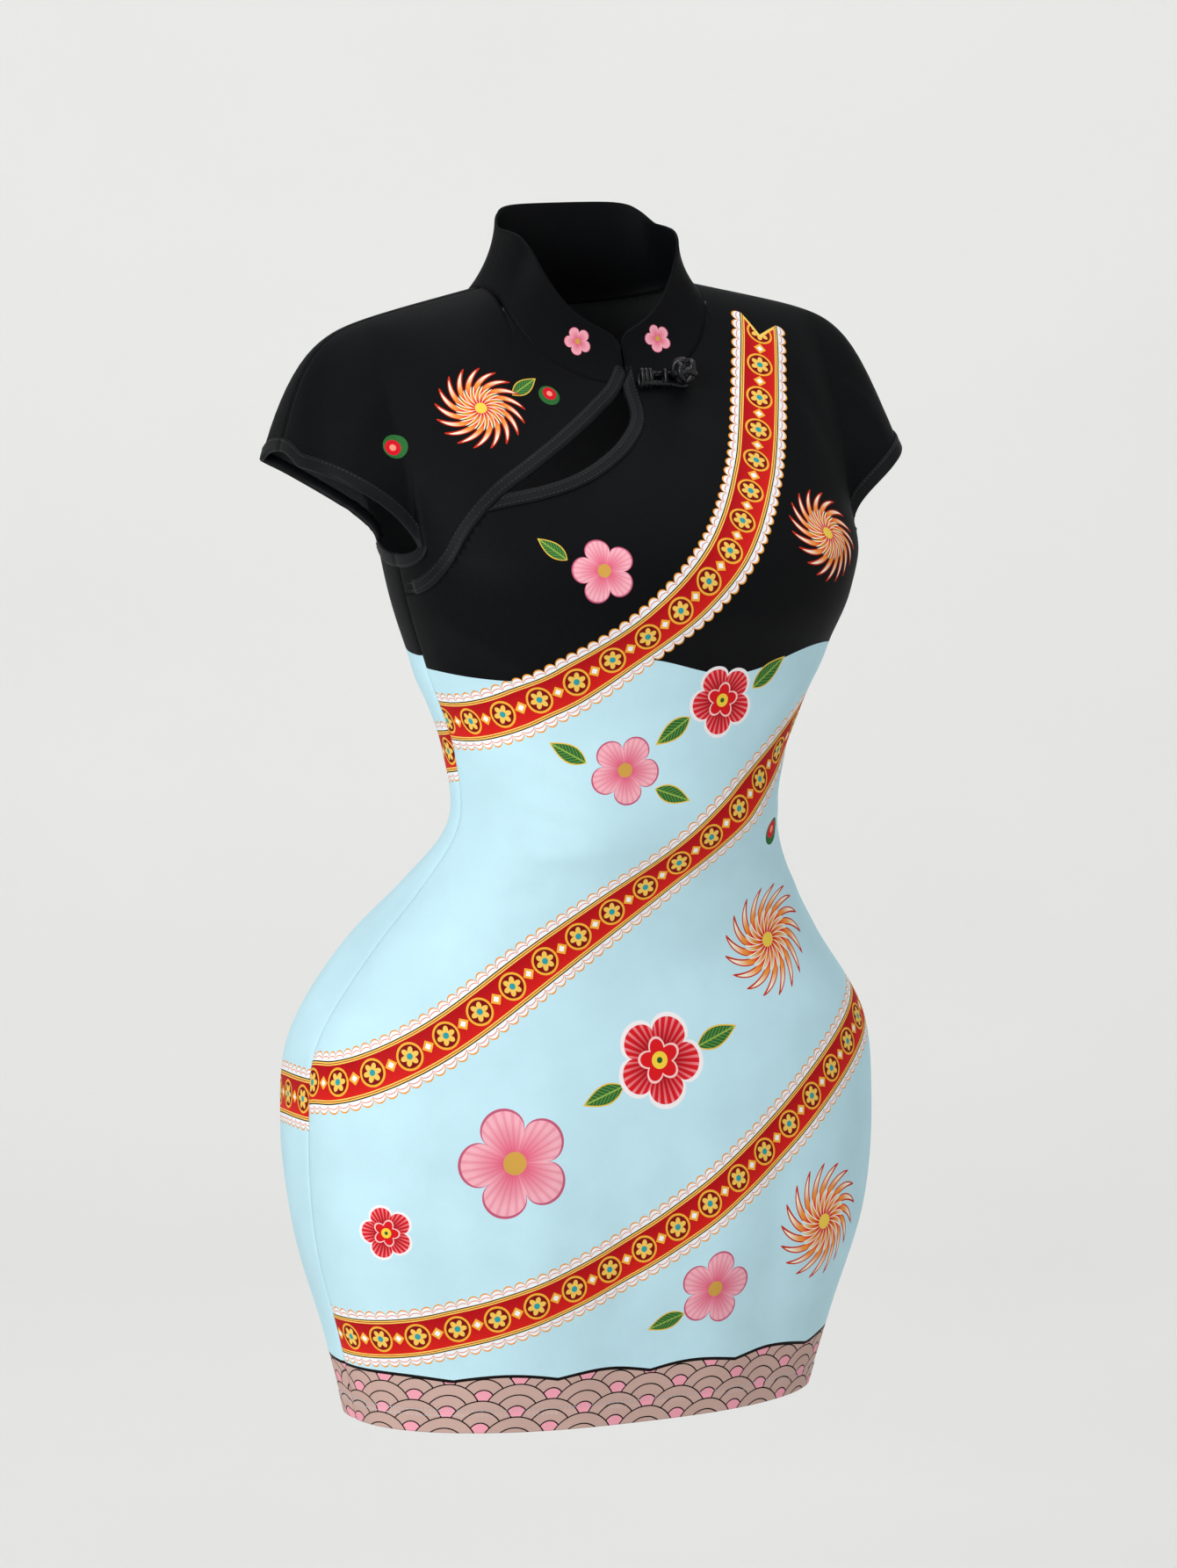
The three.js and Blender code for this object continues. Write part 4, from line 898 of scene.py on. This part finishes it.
def makePanel(name, surface, panel, node):
    surface = trimmed(surface)
    face = panelSide[panel]
    points, normals = surface["points"], surface["normals"]
    lift = clothLift(points, np.full(len(points), face))
    part = np.array([0, face * cloth["seamGap"] / 2, 0])
    outer = points + normals * lift[:, None] + part
    inner = outer - normals * cloth["wall"]
    count = len(points)
    edge = borderOf(surface["triangles"])
    rim = np.concatenate([np.stack([edge[:, 0], edge[:, 0] + count, edge[:, 1]], 1),
                          np.stack([edge[:, 1], edge[:, 0] + count, edge[:, 1] + count], 1)])
    triangles = np.concatenate([surface["triangles"], surface["triangles"][:, ::-1] + count, rim])
    slots = np.zeros(len(triangles))
    slots[len(surface["triangles"]):2 * len(surface["triangles"])] = 1
    marks = printOn(points, normals, panel)
    marks["cloth"] = clothCoordinates(points, face)
    marks = {key: np.concatenate([value, value]) for key, value in marks.items()}
    piece = makePiece(name, np.concatenate([outer, inner]), triangles, [printedKnit, reverseKnit], slots, marks)
    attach(piece, "root")
    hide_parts(node)
    print(name, "panel:", len(triangles), "triangles")
    return piece


def facing(surface, face):
    keep = surface["faces"] == face
    return {**surface, "triangles": surface["triangles"][keep], "faces": surface["faces"][keep]}


frontAll = facing(skin, -1)
frontAll = cut(frontAll, slitValue(frontAll["points"], -1))
lapGap = edgeDistance(frontAll["points"], lapEdge)
lapSheet = cut(frontAll, lapGap - cloth["seamGap"] / 2)
mainSheet = cut(frontAll, -lapGap - cloth["seamGap"] / 2)
mainSheet = cut(mainSheet, -edgeDistance(mainSheet["points"], mainEdge))
backSheet = facing(skin, 1)
backSheet = cut(backSheet, slitValue(backSheet["points"], 1))

frontPiece = makePanel("frontPanel", mainSheet, "front", "front")
lapPiece = makePanel("lapPanel", lapSheet, "lap", "front_lap")
backPiece = makePanel("backPanel", backSheet, "back", "back")

# bindings, bands and stitches


def sweep(name, path, inward, profile, material, closed=False, sink=0.0):
    # carries a closed profile (mm inward over the cloth, mm off the cloth) along a line on it
    profile = np.asarray(profile, float)
    spots = path[:, None] + inward[:, None] * np.maximum(profile[None, :, :1], 0)
    foot, up = ontoCloth(spots.reshape(-1, 3))
    foot, up = foot.reshape(spots.shape), up.reshape(spots.shape)
    level = profile[None, :, 1:] + np.broadcast_to(sink, foot.shape[:2])[..., None]
    places = foot + up * level + inward[:, None] * np.minimum(profile[None, :, :1], 0)
    rows, across = places.shape[:2]
    tris = tubeTriangles(rows, across, closed)
    points = places.reshape(-1, 3)
    return makePiece(name, points, turnedOut(points, tris), [material])


def alongEdge(table, width):  # a drawn edge laid on the cloth, with the direction over its panel
    flat = throughPoints(table)
    flat = flat[np.abs(flat[:, 0]) < sectionAt("half", flat[:, 1]) - 0.1]
    path, up = ontoCloth(evenly(onDress(flat[:, 0], flat[:, 1], -1), 1.6))
    tangent = unit(np.gradient(path, axis=0))
    return path, unit(np.cross(up, tangent)) * width, up


def stitchRun(name, path, up, size, material):  # a row of stitches: small lengthened beads
    gap = np.concatenate([[0], np.cumsum(np.linalg.norm(np.diff(path, axis=0), axis=1))])
    at = np.arange(size["step"] / 2, gap[-1], size["step"])
    centre = np.stack([np.interp(at, gap, path[:, k]) for k in range(3)], -1)
    normal = unit(np.stack([np.interp(at, gap, up[:, k]) for k in range(3)], -1))
    tangent = unit(np.stack([np.interp(at + 0.5, gap, path[:, k]) for k in range(3)], -1)
                   - np.stack([np.interp(at - 0.5, gap, path[:, k]) for k in range(3)], -1))
    side = np.cross(normal, tangent)
    k = np.linspace(0, 1, 5)[1:-1]
    t = np.arange(6) * np.pi / 3
    ring = np.stack([np.broadcast_to(-np.cos(k * np.pi)[:, None], (3, 6)),
                     np.sin(k * np.pi)[:, None] * np.cos(t), np.sin(k * np.pi)[:, None] * np.sin(t)], -1)
    bead = np.concatenate([[[-1, 0, 0]], ring.reshape(-1, 3), [[1, 0, 0]]])
    bead = bead * [size["long"] / 2, size["thick"], size["thick"] * 0.8]
    tri = [gridTriangles(3, 6, around=True) + 1]
    n = (np.arange(6) + 1) % 6
    tri += [np.stack([np.zeros(6, int), n + 1, np.arange(6) + 1], 1),
            np.stack([np.full(6, 19), np.arange(6) + 13, n + 13], 1)]
    tri = np.concatenate(tri)
    places = (centre[:, None] + bead[None, :, :1] * tangent[:, None] + bead[None, :, 1:2] * side[:, None]
              + (bead[None, :, 2:] + size["lift"]) * normal[:, None])
    tris = (tri[None] + (np.arange(len(at)) * len(bead))[:, None, None]).reshape(-1, 3)
    return makePiece(name, places.reshape(-1, 3), tris, [material])


binding = {
    # turned over the raw edge: mm over the panel, mm off it, once round the section
    "section": [(-0.55, -1.75), (-1.0, -1.1), (-1.15, -0.4), (-1.0, 0.4), (-0.5, 1.05), (0.4, 1.42), (1.8, 1.55),
                (3.6, 1.45), (5.4, 1.5), (7.2, 1.5), (8.4, 1.3), (8.9, 0.85), (9.0, 0.25),
                (6.0, 0.16), (2.0, 0.16), (0.15, 0.16), (-0.2, -0.8), (0.15, -1.66), (6.0, -1.66),
                (6.0, -2.3), (3.0, -2.45), (0.6, -2.4)],
    "stitches": {"step": 3.0, "long": 2.3, "thick": 0.3, "lift": 1.5},
    "rows": (2.2, 6.9),
}
stitchPieces = []
bindings = {}
for name, table, node, sign in (("lapBinding", lapEdge, "binding_lap", -1), ("keyholeBinding", mainEdge, "binding_front", 1)):
    path, inward, up = alongEdge(table, sign)
    section = np.array(binding["section"])
    spots = path[:, None] + inward[:, None] * np.maximum(section[None, :, :1], 0)
    if name == "keyholeBinding":         # it dips under the lap, which hides its end
        gap = edgeDistance(spots.reshape(-1, 3), lapEdge).reshape(spots.shape[:2])
        sink = -4.2 * smooth((gap + 1.6) / 2.4)
    else:                                # it dips into the side seam
        toSeam = sectionAt("half", path[:, 2]) - np.abs(path[:, 0])
        sink = (-2.6 * smooth(1 - toSeam / 1.5) * (path[:, 2] < bust["z"]))[:, None]
    piece = sweep(name, path, inward, section, bindingKnit, sink=sink)
    print(name, "runs", round(np.linalg.norm(np.diff(path, axis=0), axis=1).sum()), "mm")
    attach(piece, "root")
    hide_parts(node)
    bindings[name] = piece
    for k, row in enumerate(binding["rows"]):
        line, normal = ontoCloth(path + inward * row)
        if name == "keyholeBinding":
            clear = edgeDistance(line, lapEdge) < -1.2
            line, normal = line[clear], normal[clear]
        stitches = stitchRun(f"{name}Stitches{k}", line, normal, binding["stitches"], threadBlack)
        stitchPieces.append(stitches)
print("bindings swept")

armhole = {
    "section": [(-0.5, -1.7), (-0.95, -1.0), (-1.1, -0.3), (-0.9, 0.5), (-0.3, 1.05), (0.8, 1.25), (3.0, 1.2),
                (5.6, 1.2), (7.2, 1.1), (7.8, 0.8), (8.0, 0.25), (5.0, 0.16), (0.15, 0.16), (-0.2, -0.8),
                (0.15, -1.66), (6.0, -1.66), (6.0, -2.2), (0.6, -2.3)],
    "stitches": {"step": 3.0, "long": 2.3, "thick": 0.28, "lift": 1.2},
    "row": 6.3,
}


def armholeLine(sideX):  # once round the edge of a cap sleeve and its underarm
    halves = []
    for face in (-1, 1):
        power = bust["frontPow" if face < 0 else "backPow"]
        low = math.asin((arm["x"] / bust["half"]) ** (power / 2))
        k = np.linspace(1, 0, 13)
        under = ringPoint(bust["z"] - arm["dip"] * (1 - (1 - k) ** 2), low + (np.pi / 2 - low) * k, sideX, face)
        x = arm["x"] + (shoulder["end"] - arm["x"]) * np.linspace(0, 1, 61)[1:] ** 1.5
        hem = yokePoint(sideX * x, sleeveHem(x), face)
        low2 = sleeveHem(shoulder["end"])
        z = low2 + (seamHeight(shoulder["end"]) - low2) * np.linspace(0, 1, 11)[1:]
        halves.append(np.concatenate([under, hem, yokePoint(sideX * shoulder["end"], z, face)]))
    return np.concatenate([halves[0], halves[1][::-1][1:-1]])


for name, node, sideX in (("armholeBandRight", "armhole_band_right", -1), ("armholeBandLeft", "armhole_band_left", 1)):
    line = evenly(np.concatenate([armholeLine(sideX), armholeLine(sideX)[:1]]), 1.6)[:-1]
    for _ in range(6):                   # eases the corners of the drawn line
        line = 0.5 * line + 0.25 * (np.roll(line, 1, 0) + np.roll(line, -1, 0))
    path, up = ontoCloth(line)
    tangent = unit(np.roll(path, -1, 0) - np.roll(path, 1, 0))
    inward = unit(np.cross(up, tangent))
    middle = np.array([sideX * 120, -40, -60])
    inward *= np.sign((inward * (middle - path)).sum())
    piece = sweep(name, path, inward, armhole["section"], bindingKnit, closed=True)
    print(name, "runs", round(np.linalg.norm(np.diff(path, axis=0), axis=1).sum()), "mm")
    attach(piece, "root")
    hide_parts(node)
    bindings[name] = piece
    line, normal = ontoCloth(path + inward * armhole["row"])
    line, normal = (np.concatenate([v, v[:1]]) for v in (line, normal))
    stitchPieces.append(stitchRun(name + "Stitches", line, normal, armhole["stitches"], threadBlack))
print("armhole bands swept")

hemStitch = {"step": 3.1, "long": 2.4, "thick": 0.26, "lift": 0.05, "rows": (12.2, 15.6)}
for row in hemStitch["rows"]:
    for face in (-1, 1):
        angle = np.linspace(-np.pi / 2, np.pi / 2, 400)
        ring = ringPoint(np.full(400, hemZ + row), np.abs(angle), np.sign(angle), face)
        ring = evenly(ring[slitValue(ring, face) > 1.5], 1.5)
        line, normal = ontoCloth(ring)
        label = "Front" if face < 0 else "Back"
        stitchPieces.append(stitchRun(f"hemStitches{label}{int(row)}", line, normal, hemStitch, threadBlue))
for piece in stitchPieces:
    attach(piece, "root")
print("stitches:", sum(len(p.data.polygons) for p in stitchPieces), "faces")

# stand collar


def collarGrid():
    # Columns run round the neck; each is a closed section: up the outside, over the rounded
    # top edge and down the inside.
    gap = 0.008
    k = np.linspace(0, 1, collar["columns"])
    theta = gap + (2 * math.pi - 2 * gap) * k
    ends = np.array([0, 0.006, 0.014, 0.026])
    theta = np.unique(np.concatenate([gap + ends, theta, 2 * math.pi - gap - ends]))
    x = -neck["half"] * np.sin(theta)
    front = np.cos(theta) > 0
    z = np.where(front, neckHeight(x, -1), neckHeight(x, 1))
    z = np.minimum(z, seamHeight(np.abs(x)) - 1e-6)
    base = np.where(front[:, None], yokePoint(x, z, -1), yokePoint(x, z, 1))
    fromEnd = np.minimum(theta, 2 * math.pi - theta)
    rise = ((1 + np.cos(fromEnd)) / 2) ** collar["topPow"]
    top = collar["backTop"] - (collar["backTop"] - collar["frontTop"]) * rise
    height = top - collar["endCut"] * np.exp(-fromEnd / collar["endRound"]) - base[:, 2] - cloth["seamGap"]
    out = unit(np.stack([x / neck["half"], -np.cos(theta), 0 * x], -1))
    thick = collar["wall"] * np.sqrt(np.clip(1 - (1 - np.clip((fromEnd - gap) / 0.026, 0, 1)) ** 2, 0.12, 1))
    s = np.linspace(0, 1, collar["rows"])
    inward = 1 - (1 - s) ** collar["leanPow"]
    lean = collar["lean"] * np.minimum(1, height / collar["leanHeight"])
    lean *= 1 - (1 - collar["backLean"]) * np.maximum(0, -np.cos(theta))
    round5 = np.linspace(0, np.pi, 7)[1:-1]
    edge = 1 - 1.0 / np.maximum(height, 8)
    cols = []
    for depth, level, extra in (       # the foot tucks in below the neckline on both sides
        [(0.55, 0, -1.3), (0.2, 0, -0.5)] + [(0, v, 0) for v in s]
        + [((1 - np.cos(a)) / 2, 1, np.sin(a)) for a in round5]
        + [(1, v, 0) for v in s[::-1]] + [(1.1, 0, -2.5), (1.1, 0, -5), (0.75, 0, -5.2)]
    ):
        tilt = lean * np.interp(level, s, inward) - 0.7 * math.sin(math.pi * level)
        wave = 0.35 * np.sin(theta * 5 + 1) * np.sin(level * 2.2) * smooth(fromEnd / 0.5)
        place = base - out * (tilt + depth * thick + wave)[:, None]
        rise = extra * thick / 2 if level else extra
        place[:, 2] = base[:, 2] + cloth["seamGap"] + height * level * edge + rise
        cols.append(place)
    return np.stack(cols, 1), out


grid, collarOut = collarGrid()
rows, across = grid.shape[:2]
points = grid.reshape(-1, 3)
tris = turnedOut(points, tubeTriangles(rows, across))
outNormals = np.repeat(collarOut[:, None], across, 1).reshape(-1, 3)
marks = printOn(points, outNormals, "collar")
around = np.repeat(np.arange(rows) * 2.3, across)
marks["cloth"] = np.stack([around, points[:, 2], 0 * around], -1)
collarPiece = makePiece("standCollar", points, tris, [printedKnit], None, marks)
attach(collarPiece, "root")
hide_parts("collar")
print("collar:", len(tris), "triangles")

# frog

frog = {"x": 36, "z": -61, "ball": 8.6, "flat": 0.88, "centre": 12.6, "cord": 2.3, "core": 6.4, "loopCord": 2.0, "bend": 4.7}


def tube(path, radius, sides=12, closed=False, ply=0.0, twist=0.0):  # a round cord along a line
    if closed:
        tangent = unit(np.roll(path, -1, 0) - np.roll(path, 1, 0))
    else:
        tangent = unit(np.gradient(path, axis=0))
    across = np.cross(tangent, [0.3, 0.2, 1.0])
    across = unit(across)
    over = np.cross(tangent, across)
    t = np.arange(sides) * 2 * np.pi / sides
    far = np.concatenate([[0], np.cumsum(np.linalg.norm(np.diff(path, axis=0), axis=1))])
    r = radius * (1 + ply * np.cos(3 * t[None, :] + far[:, None] * twist))
    points = path[:, None] + r[..., None] * (np.cos(t)[None, :, None] * across[:, None] + np.sin(t)[None, :, None] * over[:, None])
    return points.reshape(-1, 3), tubeTriangles(len(path), sides, closed)


here, right, up = frameAt(frog["x"], frog["z"], -1)
outward = unit(np.cross(right, up))
outward = outward if outward[1] < 0 else -outward
# Button knot: a three-strand plait closed round a ball; latitude swings 4/3 times a turn and
# the strand rises and dips twice as often, so that it passes over and under itself.
t = np.linspace(0, 6 * math.pi, 420, endpoint=False)
latitude = 0.98 * np.cos(4 * t / 3)
radius = frog["ball"] - frog["cord"] * 0.72 + 0.62 * np.sin(8 * t / 3)
knot = (radius[:, None] * (np.cos(latitude)[:, None] * (np.cos(t)[:, None] * right + np.sin(t)[:, None] * up)
                           + frog["flat"] * np.sin(latitude)[:, None] * outward))
knot = here + outward * frog["centre"] + knot
strand, strandTris = tube(knot, frog["cord"], 12, closed=True)
k = np.linspace(0, np.pi, 14)[:, None]
w = (np.arange(20) * np.pi / 10)[None, :]
ball = np.sin(k) * np.cos(w), np.sin(k) * np.sin(w), 0.9 * np.cos(k) + 0 * w
ball = frog["core"] * sum(v[..., None] * d for v, d in zip(ball, (right, up, outward)))
ball = ball + here + outward * frog["centre"]
stalk = np.linspace(0.3, frog["centre"] - 3, 8)[:, None] * outward + here
stem, stemTris = tube(stalk, 2.1, 12)
ballTris = gridTriangles(14, 20, around=True)
points = np.concatenate([strand, ball.reshape(-1, 3), stem])
tris = np.concatenate([strandTris, ballTris + len(strand), stemTris + len(strand) + ball.shape[0] * ball.shape[1]])
knobPiece = makePiece("frogKnot", points, tris, [satinCord])
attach(knobPiece, "root")
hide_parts("frog_knob")


def beforeCollar(x, z, rise):  # over the cloth, or above the neckline in front of the collar's foot
    foot = np.minimum(z, neckHeight(x, -1) - 0.5)
    place, normal = ontoCloth(onDress(x, foot, -1))
    place = place + normal * np.asarray(rise)[:, None]
    place[:, 2] += z - foot
    return place


# The loop: two level strands, whipped together near the collar's end, and a bend round the stalk.
xs = np.array([8, 15, 22, 29.0])
rises = np.array([4.4, 4, 3.4, 2.8]) + 0.3
turn = math.pi * (0.42 - 0.84 * np.arange(7) / 6)
loopX = np.concatenate([xs, frog["x"] + frog["bend"] * np.cos(turn), xs[::-1]])
loopZ = frog["z"] + frog["bend"] * np.concatenate([[0.62] * 4, 0.9 * np.sin(turn), [-0.62] * 4])
loopRise = np.concatenate([rises, np.full(7, 2.7), rises[::-1]])
loopLine = evenly(throughPoints(beforeCollar(loopX, loopZ, loopRise), 12), 0.6)
points, tris = tube(loopLine, frog["loopCord"], 12, ply=0.1, twist=1.5)
parts, faces = [points], [tris]
for x, rise in ((7.4, 4.8), (10.6, 4.6), (13.8, 4.4), (25.2, 3.4)):
    middle = beforeCollar(np.array([x]), np.array([frog["z"]]), [rise])[0]
    ahead = beforeCollar(np.array([x + 1]), np.array([frog["z"]]), [rise])[0]
    tangent = unit(ahead - middle)
    over = unit(np.cross(tangent, [0, 0, 1]))
    t = np.linspace(0, 2 * np.pi, 40, endpoint=False)[:, None]
    high = frog["bend"] * 0.62 + frog["loopCord"] + 0.6
    ring = middle + over * (frog["loopCord"] + 0.6) * np.cos(t) + np.array([0, 0, 1.0]) * high * np.sin(t)
    more, moreTris = tube(ring, 1.5, 10, closed=True)
    faces.append(moreTris + sum(len(part) for part in parts))
    parts.append(more)
points, tris = np.concatenate(parts), np.concatenate(faces)
loopPiece = makePiece("frogLoop", points, tris, [satinCord])
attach(loopPiece, "root")
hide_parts("frog_loop")
frogCord = [np.linalg.norm(np.diff(line, axis=0), axis=1).sum() for line in (knot, loopLine)]
print("frog: cord in the knot and in the loop", [round(v) for v in frogCord], "mm")

# trims: the bindings, bands and stitches in one list

trims = list(bindings.values()) + stitchPieces

# stage, lights and camera

stage = {"floorZ": -1.45, "radius": 6.4, "bend": 2.6, "wallTop": 1.6}


def backdrop():  # a round floor that sweeps up into a low wall on every side
    a = np.linspace(0, np.pi / 2, 14)
    r = np.concatenate([[0, 1.5], stage["radius"] - stage["bend"] * (1 - np.sin(a)), [stage["radius"]]])
    z = stage["floorZ"] + np.concatenate([[0, 0], stage["bend"] * (1 - np.cos(a)), [stage["wallTop"] - stage["floorZ"]]])
    t = np.linspace(0, 2 * np.pi, 96, endpoint=False)
    grid = np.stack([r[:, None] * np.cos(t), r[:, None] * np.sin(t), z[:, None] + 0 * t], -1) * 1000
    points, tris, _ = weld(grid.reshape(-1, 3), gridTriangles(*grid.shape[:2], flip=True, around=True))
    paper = newMaterial("paleStudioPaper", [
        ("place", "TexCoord"),
        ("grain", "TexNoise", {"Vector": "place:3", "Scale": 1.5, "Detail": 4.0}),
        ("tone", "MixRGB", ["grain", "#e2e2e0", "#e8e8e6"]),
        ("paper", "BsdfPrincipled", {"Base Color": "tone", "Roughness": 0.9}),
        ("out", "OutputMaterial", ["paper"]),
    ])
    makePiece("studioFloor", points, tris, [paper])


backdrop()

# Soft light: energy in watts, size in metres, place and aim.
lights = [
    ("keySoftbox", 98, 1.6, (-3.1, -1.9, 0.9), (0, 0, -0.35)),
    ("fillSoftbox", 15, 2.6, (2.4, -2.4, 0.6), (0, 0, -0.4)),
    ("topSoftbox", 26, 2.0, (0.0, -0.6, 2.4), (0, 0, -0.2)),
    ("wallWash", 150, 4.0, (1.0, 2.6, 3.6), (2.6, 5.6, -0.9)),
]
for name, energy, size, place, aim in lights:
    data = bpy.data.lights.new(name, "AREA")
    data.energy, data.size = energy, size
    lamp = bpy.data.objects.new(name, data)
    lamp.location = place
    lamp.rotation_euler = (Vector(aim) - Vector(place)).to_track_quat("-Z", "Y").to_euler()
    bpy.context.scene.collection.objects.link(lamp)
world = bpy.data.worlds.new("softRoom")
world.use_nodes = True
world.node_tree.nodes["Background"].inputs[0].default_value = linear("#eef0f2")
world.node_tree.nodes["Background"].inputs[1].default_value = 0.36
bpy.context.scene.world = world
bpy.context.scene.view_settings.view_transform = "Standard"

# The photograph's view: 27.5 degrees round to the wearer's right and 8.5 degrees above.
shot = {"turn": 27.5, "rise": 8.5, "away": 4.5, "middle": (0, 0, -0.390), "lens": 155.3,
        "aimRight": -0.007, "aimUp": 0.0573}
a, e = math.radians(shot["turn"]), math.radians(shot["rise"])
backward = Vector((-math.sin(a) * math.cos(e), -math.cos(a) * math.cos(e), math.sin(e)))
camera = bpy.data.objects.new("camera", bpy.data.cameras.new("camera"))
bpy.context.scene.collection.objects.link(camera)
camera.location = Vector(shot["middle"]) + backward * shot["away"]
rightward = Vector((math.cos(a), -math.sin(a), 0))
upward = rightward.cross(-backward)
aimAt = Vector(shot["middle"]) + rightward * -shot["aimRight"] + upward * shot["aimUp"]
camera.rotation_euler = (aimAt - camera.location).to_track_quat("-Z", "Y").to_euler()
camera.data.lens = shot["lens"]
camera.data.sensor_width = 36
bpy.context.scene.camera = camera
print("camera set")
